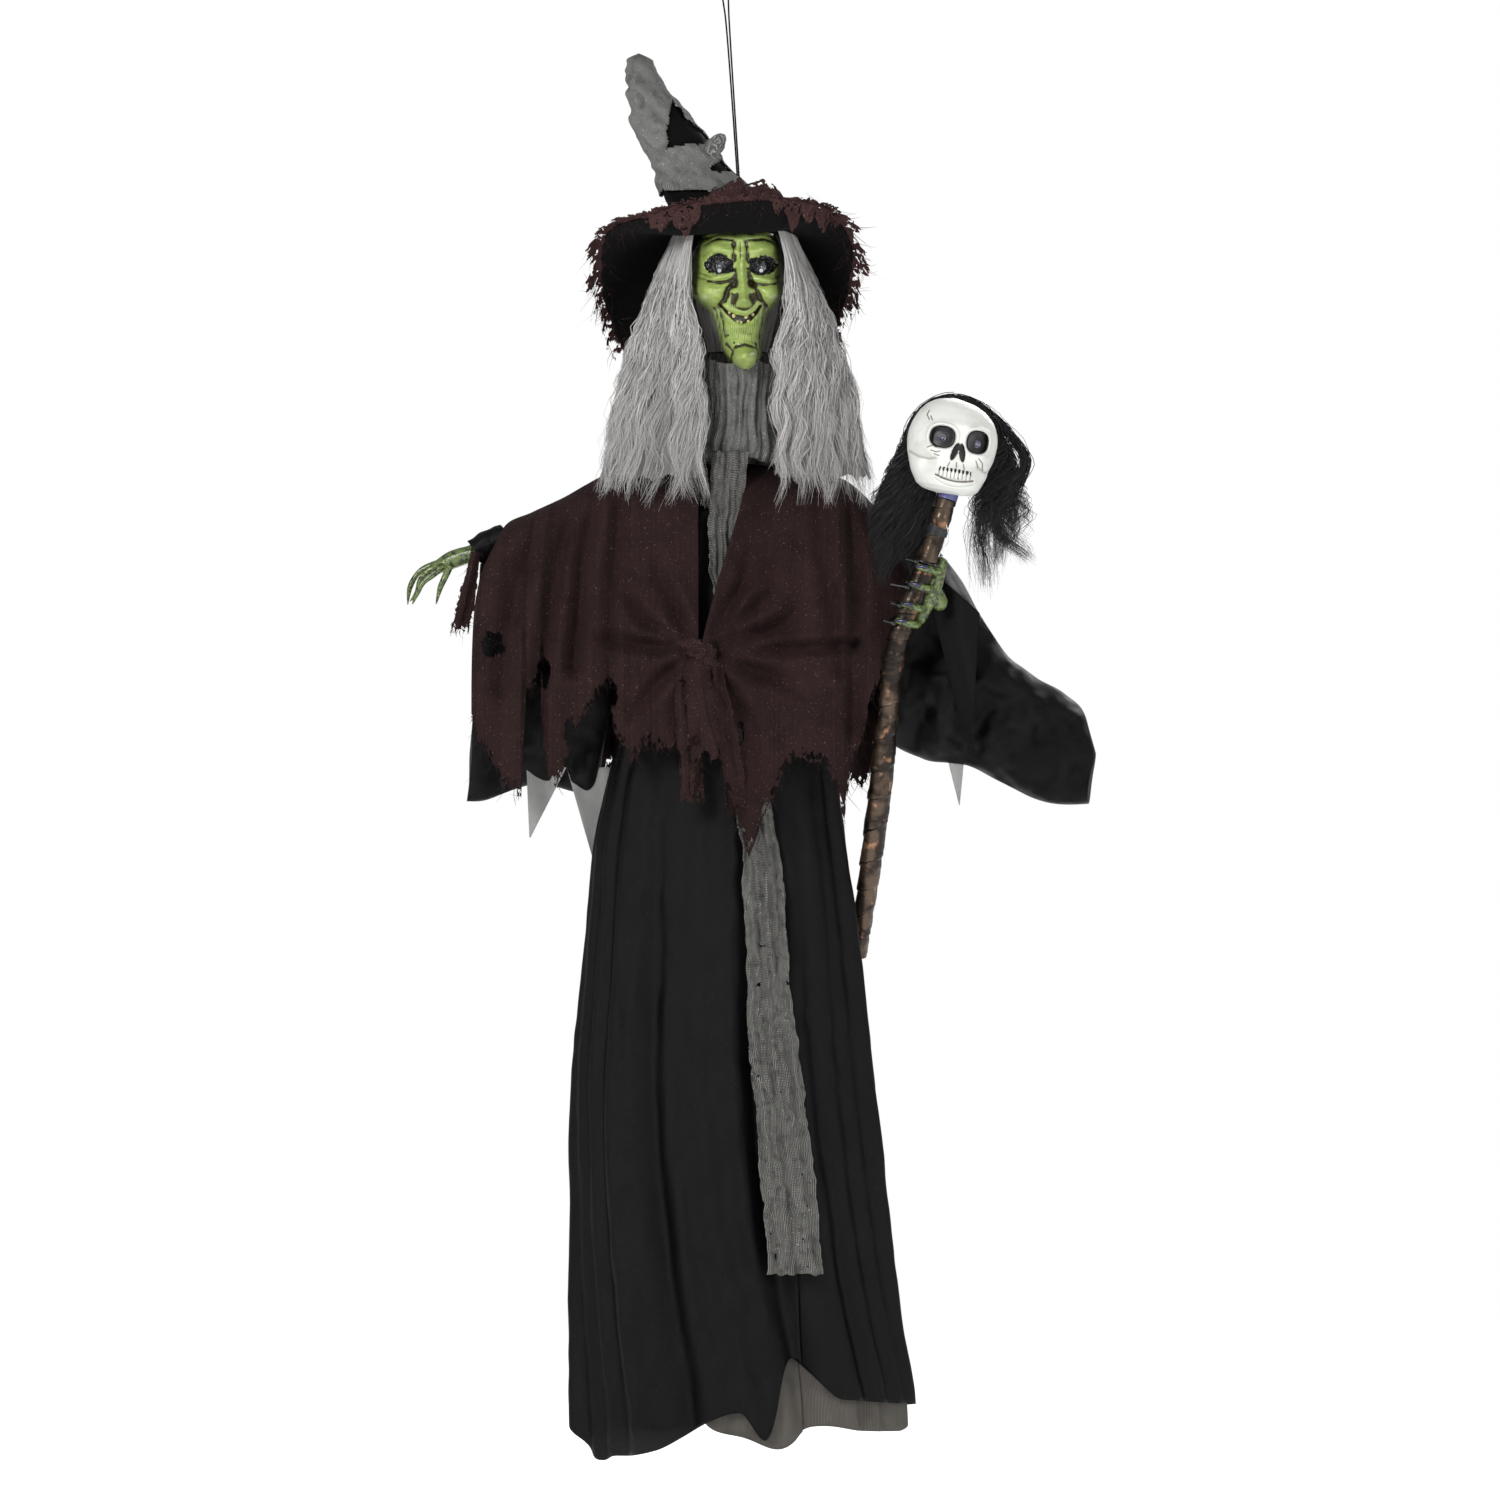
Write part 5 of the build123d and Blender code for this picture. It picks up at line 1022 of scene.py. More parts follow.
def gown_surface(inset, front, back, seed, columns=430, rows=230):
    """A hanging gown that starts at its front slit, goes round the back and ends under its own first edge."""
    turn = np.linspace(0, 1.03, columns)[None]
    angle = np.radians(24) - 2 * PI * turn
    share = np.linspace(0, 1, rows)[:, None]
    rough = smooth(-1900 + 0 * turn, gown_edges)
    x_hem = (rough[..., 0] + rough[..., 1]) / 2 + (rough[..., 1] - rough[..., 0]) / 2 * np.sin(angle)
    is_front = ease(np.cos(angle), -0.2, 0.2)
    hem = is_front * smooth(x_hem, front) + (1 - is_front) * smooth(x_hem, back)
    z = gown_high[2] - 4 + (hem - gown_high[2]) * share
    left, right, deep = np.moveaxis(smooth(z, gown_edges), -1, 0)
    fall = ease(-z, 760, 1750)
    sway = angle + 0.10 * np.sin(z / 210 + seed) * fall
    folds = (0.5 * np.sin(9 * sway + seed) + 0.3 * np.sin(15 * sway + 1.3 * seed + z / 500)
             + 0.2 * np.sin(26 * sway + z / 170))
    fold_depth = 5 + 24 * fall
    inward = inset + fold_depth * np.clip(0.5 - 0.5 * folds, 0, 1) ** 1.3 + 5 * ease(turn, 0.9, 1.0)
    half = (right - left) / 2 - inward
    x = (left + right) / 2 + half * np.sin(angle)
    y = -(deep - inward) * np.cos(angle)
    surface = np.stack([x, y, z], -1)
    crinkle = layered_noise(surface * (1, 1, 0.5), 46.0, 3, int(seed) + 3)
    surface[..., 0] += 2.2 * crinkle * np.sin(angle)
    surface[..., 1] += -4.0 * crinkle * np.cos(angle)
    return surface


gown_points = gown_surface(0, hem_front, hem_back, 2.0)
patches = ease(noise(gown_points, 120.0, 4), 0.1, 0.6)
hem_sheer = ease(-gown_points[..., 2], 1840, 1925)
gown = cloth("gown_cloth", gown_points, sheer_black, thickness=0.5,
             numbers={"sheer": np.clip(0.12 * patches + 0.3 * hem_sheer, 0, 1)})
place(gown, "body_frame", "sheer", "gown_front", "gown_back")
declare_sheet(gown)
lining = cloth("gown_lining", gown_surface(11, lining_front, hem_back, 2.0, 430, 150), grey_lining,
               thickness=0.4)
place(lining, "body_frame", "sheer")
declare_sheet(lining)


def gown_front_y(x, z):
    """How far forward the gown's front lies at a spot."""
    left, right, deep = np.moveaxis(smooth(z, gown_edges), -1, 0)
    share = np.clip((x - (left + right) / 2) / ((right - left) / 2), -0.98, 0.98)
    return -deep * np.sqrt(1 - share**2)


# ------------------------------------------------------------------ tabard and neck scarf
tabard_keys = [(-1700, 90, 38), (-1660, 88, 36), (-1500, 74, 34), (-1300, 58, 28), (-1090, 40, 24),
               (-950, 22, 26), (-800, 2, 20), (-620, 6, 24)]
tabard_u = np.linspace(-1, 1, 90)[None]
tabard_v = np.linspace(-622, -1684, 420)[:, None]
mid, wide = np.moveaxis(smooth(tabard_v + 0 * tabard_u, tabard_keys), -1, 0)
wide = wide * (1 + 0.10 * flat_noise(tabard_v, 60.0, 1)) + 1.5 * flat_noise(tabard_v + 40 * tabard_u, 5.0, 2)
tabard_x = mid + wide * tabard_u + 5 * flat_noise(tabard_v, 110.0, 5)
pleats = (
    np.sin(tabard_u * 8 + 3 * flat_noise(tabard_v, 150.0, 3))
    + 0.7 * np.sin(tabard_u * 17 + tabard_v / 60)
)
tabard_loose = 0.45 + 0.55 * ease(-tabard_v, 1040, 1120)
tabard_y = gown_front_y(tabard_x, tabard_v + 0 * tabard_u) - 9 * tabard_loose - 2.6 * pleats
tabard_z = tabard_v + 0 * tabard_u + 4 * flat_noise(tabard_u * 30, 6.0, 2)
tabard_points = np.stack([tabard_x, tabard_y, tabard_z], -1)
tabard_points[..., 1] -= 7.0 * tabard_loose * layered_noise(tabard_points * (1, 1, 0.6), 20.0, 4, 6)
tabard_points[..., 0] += 2.0 * noise(tabard_points, 16.0, 8)
tabard_holes = layered_noise(tabard_points, 7.0, 2, 14) > 0.98
tabard = cloth("tabard_strip", tabard_points, tabard_gauze, keep=~tabard_holes, thickness=0.8)
place(tabard, "body_frame", "tabard_gauze", "tabard")
declare_sheet(tabard)

scarf_low, scarf_high = node_box("neck_scarf")
scarf_turn = np.linspace(0, 2 * PI, 260)[None]
scarf_share = np.linspace(0, 1, 110)[:, None]
scarf_radius = smooth(scarf_share + 0 * scarf_turn,
                      [(0, 47), (0.1, 45), (0.3, 42), (0.7, 44), (0.9, 49), (1.0, 45)])
scarf_pleats = (
    np.sin(17 * scarf_turn + 1.5 * np.sin(3 * scarf_share))
    + 0.6 * np.sin(31 * scarf_turn + 4 * scarf_share)
)
scarf_radius = scarf_radius + 2.6 * scarf_pleats
scarf_z = scarf_high[2] + 2 + (scarf_low[2] - 8 - scarf_high[2]) * scarf_share + 3 * np.sin(5 * scarf_turn)
scarf_points = np.stack([face_x + scarf_radius * np.sin(scarf_turn),
                         -scarf_radius * np.cos(scarf_turn) * 0.98,
                         scarf_z], -1)
scarf_lumps = layered_noise(scarf_points * (1, 1, 0.45), 26.0, 4, 3)
scarf_points[..., 1] += 5.0 * scarf_lumps
scarf_points[..., 0] += 3.0 * layered_noise(scarf_points * (1, 1, 0.45), 22.0, 3, 7)
scarf = cloth("neck_scarf_gauze", scarf_points, grey_gauze, thickness=1.4)
place(scarf, "body_frame", "gauze", "neck_scarf")
declare_sheet(scarf)


# ------------------------------------------------------------------ cape
right_ridge = [(0.0, 20, -636), (0.15, -24, -638), (0.35, -92, -640), (0.5, -140, -648), (0.62, -176, -664),
               (0.72, -205, -679), (0.84, -250, -699), (0.94, -286, -717), (1.0, -298, -742)]
left_ridge = [(0.0, 20, -636), (0.2, 56, -640), (0.45, 106, -646), (0.7, 160, -660), (0.88, 196, -694),
              (1.0, 214, -722)]
right_hem = [(-340, -800), (-334, -935), (-322, -982), (-289, -1051), (-262, -1069), (-256, -935),
             (-236, -908), (-232, -1000), (-224, -1048), (-209, -1051), (-191, -994), (-170, -955),
             (-158, -935), (-140, -932), (-131, -970), (-116, -1006), (-104, -1027), (-87, -1006),
             (-72, -994), (-60, -1010), (-30, -1006), (-12, -1000)]
left_hem = [(-40, -1000), (-12, -1021), (4, -1060), (12, -1083), (24, -1060), (34, -980), (38, -968),
            (47, -1054), (65, -1143), (77, -1101), (95, -1042), (110, -1015), (137, -1024), (150, -1050),
            (160, -1098), (168, -1030), (178, -1006), (190, -946), (205, -900), (232, -850), (246, -830)]
back_hem = [(-345, -1000), (-300, -1060), (-250, -980), (-190, -1070), (-130, -1000), (-70, -1080),
            (0, -1020), (60, -1085), (120, -1010), (180, -1060), (225, -930), (250, -860)]
knot_spot = np.array([-32.0, -878.0])
front_folds = [  # (points, width, depth) of the valleys in the front of the cape
    ([(-168, -668), (-186, -760), (-196, -900)], 11, 13),
    ([(-196, -690), (-222, -800), (-244, -940)], 12, 11),
    ([(-240, -710), (-270, -800), (-292, -930)], 12, 9), ([(-132, -668), (-146, -780), (-150, -920)], 10, 8),
    ([(-100, -680), (-86, -780), (-42, -868)], 10, 10), ([(-150, -770), (-104, -840), (-44, -874)], 9, 10),
    ([(-170, -860), (-110, -872), (-46, -880)], 9, 9), ([(-120, -960), (-80, -915), (-42, -884)], 9, 8),
    ([(36, -690), (24, -790), (-20, -868)], 9, 9), ([(74, -690), (62, -800), (-16, -872)], 10, 12),
    ([(150, -780), (74, -842), (-14, -876)], 10, 12), ([(170, -872), (90, -876), (-12, -880)], 9, 11),
    ([(140, -960), (70, -915), (-14, -884)], 10, 9), ([(56, -1060), (30, -970), (-18, -888)], 10, 9),
    ([(120, -670), (128, -760), (150, -900)], 12, 9), ([(160, -680), (172, -800), (166, -980)], 11, 11),
]
right_opening = [(-1100, -30), (-900, -34), (-878, -34), (-760, -34), (-690, -34), (-636, -30)]
left_opening = [(-1100, -44), (-900, -38), (-878, -32), (-800, -12), (-720, 12), (-660, 28), (-636, 32)]


def cape_half(ridge, front_hem, opening, side, seed, columns=330, half_rows=170):
    """One half of the cape, from its front hem over the arm to its back hem."""
    t = np.linspace(0, 1, columns)[None] + np.zeros((half_rows, 1))
    fall = np.linspace(0, 1, half_rows)[:, None] + 0 * t
    pieces = []
    for way, hem in ((-1, front_hem), (1, back_hem)):
        x, top = np.moveaxis(smooth(t, ridge), -1, 0)
        spread = x + side * 30 * t**3 * (1 - np.exp(-6 * fall))
        keys = np.array(hem, float)
        low = np.interp(spread, keys[:, 0], keys[:, 1])
        low = low + 7 * flat_noise(spread * 1.0, 6.0, seed) + 5 * flat_noise(spread, 2.0, seed + 1)
        z = top + (low - top) * fall
        inner = smooth(z, opening) if way < 0 else np.full(z.shape, float(face_x) - 10 * side)
        x = spread + (inner - ridge[0][1]) * (1 - t) ** 2.2
        drop = top - z
        round_r = 26 - 14 * t
        wide = smooth(t, [(0, 71), (0.3, 66), (0.6, 50), (1, 34)])
        depth = wide * (1 - np.exp(-drop / round_r)) + drop * 0.12
        away = np.hypot(x - knot_spot[0], z - knot_spot[1])
        angle = np.arctan2(z - knot_spot[1], x - knot_spot[0])
        radial = np.sin(9 * angle + seed) * np.exp(-away / 170) * ease(away, 8, 60) * (way < 0)
        hang = np.sin(x / 17 + seed + 0.6 * np.sin(z / 90)) * ease(drop, 90, 380)
        relief = 7.0 * radial + 8.0 * hang * (0.4 + 0.6 * t)
        if way > 0:
            pleats = np.sin(x / 13 + 1.1 * np.sin(z / 80 + seed)) + 0.6 * np.sin(x / 7.1 + seed)
            relief += 6.0 * pleats * ease(drop, 10, 200) - 3.0 * side * (1 - t) ** 8
        relief += 5.0 * layered_noise(np.stack([x, 0 * x, z], -1), 60.0, 3, seed)
        if way < 0:
            for points, width, deep in front_folds:
                reach = line_distance(x, z, points) / width
                to_knot = abs(points[-1][1] - knot_spot[1]) < 20 and abs(points[-1][0] - knot_spot[0]) < 20
                fade = ease(away, 8, 45) * (1 - ease(away, 85, 175)) if to_knot else 1.0
                relief += 1.2 * fade * deep * (0.45 * np.exp(-((reach - 1.7) ** 2)) - np.exp(-(reach**2)))
        pinch = np.exp(-((away / 42) ** 2)) * (way < 0)
        y = way * (depth + relief * ease(drop, 8, 60) + 9 * pinch)
        pieces.append(np.stack([x, y, z], -1))
    surface = np.concatenate([pieces[0][::-1], pieces[1][1:]], 0)
    return surface


def tattered(surface, hole_spots, seed):
    """Which points of a cape stay: its holes and its frayed rims are left out."""
    fray = layered_noise(surface, 5.0, 2, seed)
    keep = np.ones(surface.shape[:2], bool)
    rows = surface.shape[0]
    rim = np.minimum(np.arange(rows), rows - 1 - np.arange(rows))[:, None] / (rows / 2)
    keep &= ~((rim < 0.03) & (fray > 0.1))
    for (hx, hz), (wx, wz) in hole_spots:
        near = ((surface[..., 0] - hx) / wx) ** 2 + ((surface[..., 2] - hz) / wz) ** 2
        keep &= ~((near + 0.5 * fray < 1) & (surface[..., 1] < 0))
    return keep


def tail(name, start, end, width, seed, y_start, body="body_frame"):
    """A ragged strip of cloth hanging from one spot to another."""
    u = np.linspace(-1, 1, 36)[None]
    v = np.linspace(0, 1, 110)[:, None]
    x = start[0] + (end[0] - start[0]) * v + u * width * (0.45 + 0.75 * v - 0.2 * v**3)
    x = x + 5 * np.sin(3 * v + seed)
    z = start[1] + (end[1] - start[1]) * v + 0 * u
    z = z - 12 * v * (flat_noise(u * 3, 0.5, seed)) + 0 * v
    y = y_start - 4 * v + 3.5 * np.sin(3.2 * u + 2 * v + seed) + 0 * v
    surface = np.stack([x, y + 0 * z, z], -1)
    surface += 2.0 * np.stack([noise(surface, 18.0, seed + k) for k in (0, 1, 2)], -1)
    fray = layered_noise(surface, 4.0, 2, seed + 5)
    keep = ~(((np.abs(u) > 0.86) | (v > 0.95)) & (fray > 0.05))
    strip = cloth(name, surface, burlap, keep=keep, thickness=1.2)
    threads = rim_threads(name + "_threads", surface, keep, 220, 12, burlap)
    return [place(strip, body, "burlap"), place(threads, body, "burlap")]


knot_ball, knot_quads = joined([
    ball_parts((-33, -113, -878), (18, 12, 12), 26, 30),
    ball_parts((-20, -113, -889), (11, 10, 15), 26, 30),
    ball_parts((-46, -109, -871), (14, 9, 8), 26, 30),
])
knot_ball = knot_ball + 4.0 * np.stack([layered_noise(knot_ball, 10.0, 2, k) for k in (21, 22, 23)], -1)
cape_knot = mesh("cape_knot", knot_ball, knot_quads, burlap, None, {"thread": knot_ball * MM})
place(cape_knot, "body_frame", "burlap")
hanging_ends = [
    cape_knot,
    *tail("cape_tail_broad", (-40, -884), (-14, -1022), 27, 3, -114),
    *tail("cape_tail_square", (-52, -920), (-46, -1072), 16, 5, -110),
    *tail("cape_tail_right", (-16, -890), (18, -1088), 15, 7, -112),
    *tail("cape_rag_wrist", (-318, -752), (-350, -852), 13, 5, -22, "right_arm"),
]

cape_specs = [
    ("cape_right_half", right_ridge, right_hem, right_opening, -1, 3,
     [((-299, -872), (15, 16)), ((-234, -912), (9, 22)), ((-150, -938), (12, 20)), ((-200, -985), (7, 20))],
     "right_arm", right_pivot, -1, ("cape_right", "cape_centre"), hanging_ends),
    ("cape_left_half", left_ridge, left_hem, left_opening, 1, 8,
     [((20, -985), (5, 16))], "left_arm", left_pivot, 1, ("cape_left",), []),
]
for name, ridge, hem, opening, side, seed, holes, arm, pivot, way, stands_for, ends in cape_specs:
    surface = cape_half(ridge, hem, opening, side, seed)
    keep = tattered(surface, holes, seed)
    half_obj = cloth(name, surface, burlap, keep=keep, thickness=1.2)
    near = (pivot + (way * 10, 0, 0)) * MM
    far = (pivot + (way * 120, 0, 0)) * MM
    place(half_obj, ("body_frame", arm, tuple(near), tuple(far)), "burlap", *stands_for)
    threads = rim_threads(name + "_threads", surface, keep, 1400, 16, burlap)
    place(threads, ("body_frame", arm, tuple(near), tuple(far)), "burlap")
    declare_sheet(half_obj)





# ------------------------------------------------------------------ sleeves
def sleeve(name, top_line, low_line, depth, finish, seed, crumple, columns=170, sides=220):
    """A bell sleeve between its upper and lower lines, with folds that run down it."""
    a = np.linspace(0, 1, columns)[:, None]
    round_ = np.linspace(0, 2 * PI, sides, endpoint=False)[None]
    top = smooth(a + 0 * round_, top_line)
    low = smooth(a + 0 * round_, low_line)
    up = 0.5 + 0.5 * np.cos(round_)
    centre = low + (top - low) * up[..., None]
    drop = np.linalg.norm(top - low, axis=-1)
    down = (1 - up) * drop
    swell = depth * np.sin(round_) * (0.55 + 0.45 * ease(drop, 20, 180))
    folds = np.sin(centre[..., 0] / 13 + seed + 0.8 * np.sin(centre[..., 1] / 60)) * ease(down, 30, 200)
    y = swell + 8 * folds * np.abs(np.sin(round_)) ** 0.5 * np.sign(np.sin(round_)) * -1
    surface = np.stack([centre[..., 0], y, centre[..., 1]], -1)
    creases = np.sin((surface[..., 0] * 0.55 - surface[..., 2]) / 21 + 3.2 * noise(surface, 90.0, seed + 3))
    surface[..., 1] += 12 + crumple * (
        7 * layered_noise(surface, 50.0, 3, seed) + 5 * creases * np.sin(round_)
    )
    surface[..., 0] += 2.5 * noise(surface, 40.0, seed + 2)
    surface[..., 2] += 2.5 * noise(surface, 35.0, seed + 4)
    sheer = ease(a + 0.25 * noise(surface, 60.0, seed + 9), 0.72, 0.95)
    return cloth(name, surface, finish, wrap=True, thickness=0.5, numbers={"sheer": 0.75 * sheer})


right_top = [(0, -92, -662), (0.3, -170, -686), (0.6, -250, -726), (0.85, -300, -752), (1, -318, -764)]
right_low = [(0, -118, -790), (0.2, -150, -960), (0.45, -176, -1060), (0.7, -250, -1052), (0.88, -314, -1074),
             (1, -335, -1076)]
right_sleeve = sleeve("right_sleeve_cloth", right_top, right_low, 34, sheer_black, 4, 1.0)
place(right_sleeve, ("body_frame", "right_arm", tuple((right_pivot - (5, 0, 0)) * MM),
                     tuple((right_pivot - (45, 0, 0)) * MM)), "sheer", "right_sleeve")

left_top = [(0, 150, -668), (0.2, 215, -700), (0.4, 284, -752), (0.58, 357, -872), (0.72, 405, -914),
            (0.82, 440, -932), (0.92, 468, -960), (1, 481, -1010)]
left_low = [(0, 176, -800), (0.2, 200, -970), (0.4, 256, -1018), (0.58, 316, -1030), (0.72, 372, -1056),
            (0.82, 406, -1072), (0.92, 440, -1078), (1, 472, -1077)]
left_sleeve = sleeve("left_sleeve_cloth", left_top, left_low, 42, sheer_black, 7, 1.7)
place(left_sleeve, ("body_frame", "left_arm", tuple((left_pivot + (5, 0, 0)) * MM),
                    tuple((left_pivot + (45, 0, 0)) * MM)), "sheer", "left_sleeve")


def tip(name, corners, y, body, finish, slot_name):
    """A pointed end of thin cloth between three corners."""
    a, b, c = (np.array(corner, float) for corner in corners)
    u = np.linspace(0, 1, 40)[None, :, None]
    v = np.linspace(0, 0.97, 60)[:, None, None]
    flat = (a + (b - a) * u) * (1 - v) + c * v
    wave = 4 * np.sin(flat[..., 0] / 8 + flat[..., 1] / 40)
    surface = np.stack([flat[..., 0], y + wave, flat[..., 1]], -1)
    obj = cloth(name, surface, finish, thickness=0.4)
    return place(obj, body, slot_name)


sleeve_tips = [
    tip("sleeve_tip_outer", ((-258, -1030), (-206, -1030), (-254, -1124)), -6, "right_arm", pale_sheer,
        "sheer"),
    tip("sleeve_tip_inner", ((-206, -1030), (-146, -1030), (-166, -1170)), 4, "right_arm", pale_sheer,
        "sheer"),
]
left_tips = [
    tip("left_sleeve_tip", ((282, -990), (314, -990), (305, -1082)), 8, "left_arm", pale_sheer, "sheer"),
    tip("left_sleeve_panel", ((252, -760), (330, -830), (318, -1020)), -50, "left_arm", sheer_black, "sheer"),
]
declare_sheet(left_sleeve)


# ------------------------------------------------------------------ hands
def limb_object(name, limbs, finish, voxel=0.9):
    """Tapering limbs fused into one skin."""
    parts = []
    for spots, radii in limbs:
        spots = np.array(spots, float)
        share = np.linspace(0, 1, len(spots))
        fine_share = np.linspace(0, 1, 8 * len(spots))
        keys = np.column_stack([share, spots, radii])
        line = smooth(fine_share, keys)
        points, faces, _ = tube_parts(line[:, :3], line[:, 3], 14)
        parts.append((points, faces))
        parts.append(ball_parts(line[0, :3], [line[0, 3]] * 3))
        parts.append(ball_parts(line[-1, :3], [line[-1, 3]] * 3))
    obj = mesh(name, *joined(parts), finish)
    fuse = obj.modifiers.new("fuse", "REMESH")
    fuse.mode = "VOXEL"
    fuse.voxel_size = voxel * MM
    fuse.use_smooth_shade = True
    soften = obj.modifiers.new("soften", "SMOOTH")
    soften.iterations = 3
    return obj


palm = np.array([-330.0, 0.0, -752.0])
claw_limbs = [
    ([palm, palm + (-24, 3, -8), palm + (-44, 4, -18)], [11, 12, 9]),
    ([palm + (-36, 10, -10), palm + (-58, 13, -18), palm + (-70, 13, -26), palm + (-80, 13, -44),
      palm + (-83, 12, -66)],
     [5, 4.6, 3.6, 3.6, 1.0]),
    ([palm + (-38, 3, -14), palm + (-54, 2, -22), palm + (-66, 2, -34), palm + (-70, 1, -50),
      palm + (-79, 0, -62)],
     [5, 4.6, 3.6, 3.6, 1.0]),
    ([palm + (-38, -6, -18), palm + (-50, -8, -28), palm + (-62, -9, -38), palm + (-70, -9, -52),
      palm + (-76, -9, -66)],
     [5, 4.6, 3.6, 3.4, 1.0]),
    ([palm + (-28, -10, -18), palm + (-34, -15, -32), palm + (-40, -16, -46), palm + (-45, -16, -66)],
     [5, 4.4, 3.6, 1.0]),
]
right_hand = limb_object("right_claw_hand", claw_limbs, hand_paint)
place(right_hand, "right_arm", "hand_paint", "right_hand")
cuff_path = np.array([(-286, 6, -730), (-306, 4, -738), (-326, 2, -750)], float)
cuff_line = smooth(np.linspace(0, 1, 24), np.column_stack([[0, 0.5, 1], cuff_path]))
cuff_points, cuff_faces, _ = tube_parts(cuff_line, 17, 28)
cuff_points += 1.4 * np.stack([noise(cuff_points, 10.0, k) for k in (31, 32, 33)], -1)
cuff = mesh("right_cuff", cuff_points, cuff_faces, sheer_black, {"sheer": np.zeros(len(cuff_points))},
            {"thread": cuff_points * MM})
place(cuff, "right_arm", "sheer")
declare_sheet(right_sleeve)


# ------------------------------------------------------------------ staff
staff_keys = [(0, 287, -97, -684), (0.12, 262, -88, -760), (0.3, 224, -75, -864), (0.45, 212, -62, -930),
              (0.62, 203, -38, -1040), (0.8, 188, 0, -1165), (1.0, 173, 50, -1275)]
staff_radii = [(0, 11.5), (0.35, 13.5), (0.6, 14.5), (0.85, 12.5), (1.0, 10.5)]
staff_rows, staff_sides = 560, 48
staff_share = np.linspace(0, 1, staff_rows)
staff_line = smooth(staff_share, staff_keys)
staff_grid, staff_faces, _ = tube_parts(staff_line, 1.0, staff_sides)
staff_grid = staff_grid.reshape(staff_rows, staff_sides, 3)
staff_dirs = staff_grid - staff_line[:, None]
staff_angle = np.linspace(0, 1, staff_sides, endpoint=False)[None]
wraps = 17 * staff_share[:, None] + 0.25 * flat_noise(staff_share * 30, 1.0, 4)[:, None]
turn_share = (wraps * 1.0 - staff_angle * 0.8 + 0.06 * flat_noise(staff_angle * 9 + wraps, 0.7, 2)) % 1.0
lift = 1.5 * ease(turn_share, 0.0, 1.0) + 0.5 * layered_noise(staff_grid, 9.0, 3, 5)
staff_r_grid = smooth(staff_share, staff_radii)[:, None] + lift
staff_surface = staff_line[:, None] + staff_dirs * staff_r_grid[..., None]
seam = np.maximum(ease(turn_share, 0.955, 0.985), 1 - ease(turn_share, 0.0, 0.03))
staff = mesh("wrapped_staff", staff_surface, staff_faces, staff_wrap, {"seam": seam})
place(staff, "left_arm", "staff_wrap", "staff")


def staff_at(share):
    """The staff's middle, its way down, and the ways across towards the onlooker and to the right."""
    here, there = smooth(np.array([share, share + 0.01]), staff_keys)
    way = (there - here) / np.linalg.norm(there - here)
    front = np.array([0, -1, 0]) - way * np.dot((0, -1, 0), way)
    front /= np.linalg.norm(front)
    return here, way, front, np.cross(front, way)


def staff_ring(share, radius, start, end, lift_down=0.0, steps=26):
    """A bent line round the staff from one angle to another; 0 faces the onlooker, 90 the right."""
    here, way, front, across = staff_at(share)
    angle = np.radians(np.linspace(start, end, steps))[:, None]
    drop = way * np.linspace(0, lift_down, steps)[:, None]
    return here + radius * (front * np.cos(angle) - across * np.sin(angle)) + drop


band_points, band_faces, _ = tube_parts(
    np.array([staff_at(0.055)[0], staff_at(0.063)[0], staff_at(0.071)[0]]), 14.4, 40)
band = mesh("staff_tape", band_points, band_faces, black_tape)
place(band, "left_arm", "tape", "staff_band")

grip_limbs = []
nail_parts = []
finger_shares = (0.135, 0.172, 0.215, 0.252)
for number, share in enumerate(finger_shares):
    spin = 1 if staff_ring(share, 1, 90, 91, steps=2)[0][0] > staff_at(share)[0][0] else -1
    line = staff_ring(share, 17.5, 150 * spin, -25 * spin, 3.0, 9)
    grip_limbs.append((line, np.linspace(6.2, 4.2, 9)))
    nail = staff_ring(share, 20.5, 8 * spin, -34 * spin, 3.5, 8)
    nail_parts.append(tube_parts(nail, np.linspace(3.2, 1.6, 8), 10)[:2])
wrist_out = staff_at(0.2)[0] + (34, 16, -8)
grip_limbs.append(([staff_at(0.13)[0] + (19, 8, 0), staff_at(0.19)[0] + (21, 8, 0),
                    staff_at(0.25)[0] + (20, 8, 0)],
                   [9, 12, 8]))
grip_limbs.append(([staff_at(0.19)[0] + (22, 10, 0), wrist_out], [12, 11]))
left_hand = limb_object("left_grip_hand", grip_limbs, hand_paint)
place(left_hand, "left_arm", "hand_paint", "left_hand")
nails = mesh("left_nails", *joined(nail_parts), nail_finish)
place(nails, "left_arm", "hand_paint")

tie_parts = []
for share, reach in zip((0.128, 0.182, 0.222, 0.262), (15, 22, 13, 14)):
    tie_parts.append(tube_parts(staff_ring(share, 17.2, 0, 360, 0.0, 40), 1.6, 8)[:2])
    here = staff_at(share)[0] + (-13, -14, 0)
    tie_parts.append(tube_parts(np.linspace(here, here + (-reach, -8, 4), 10), 1.8, 8)[:2])
    tie_parts.append(ball_parts(here, (4.2, 3.4, 3.4)))
ties = mesh("cable_tie_set", *joined(tie_parts), black_nylon)
place(ties, "left_arm", "tie", "cable_ties")

skull_lead = cord_curve("skull_lead_wire", lead_points, lead_d, clear_wire)
place(skull_lead, "left_arm", "clear_wire", "skull_lead")


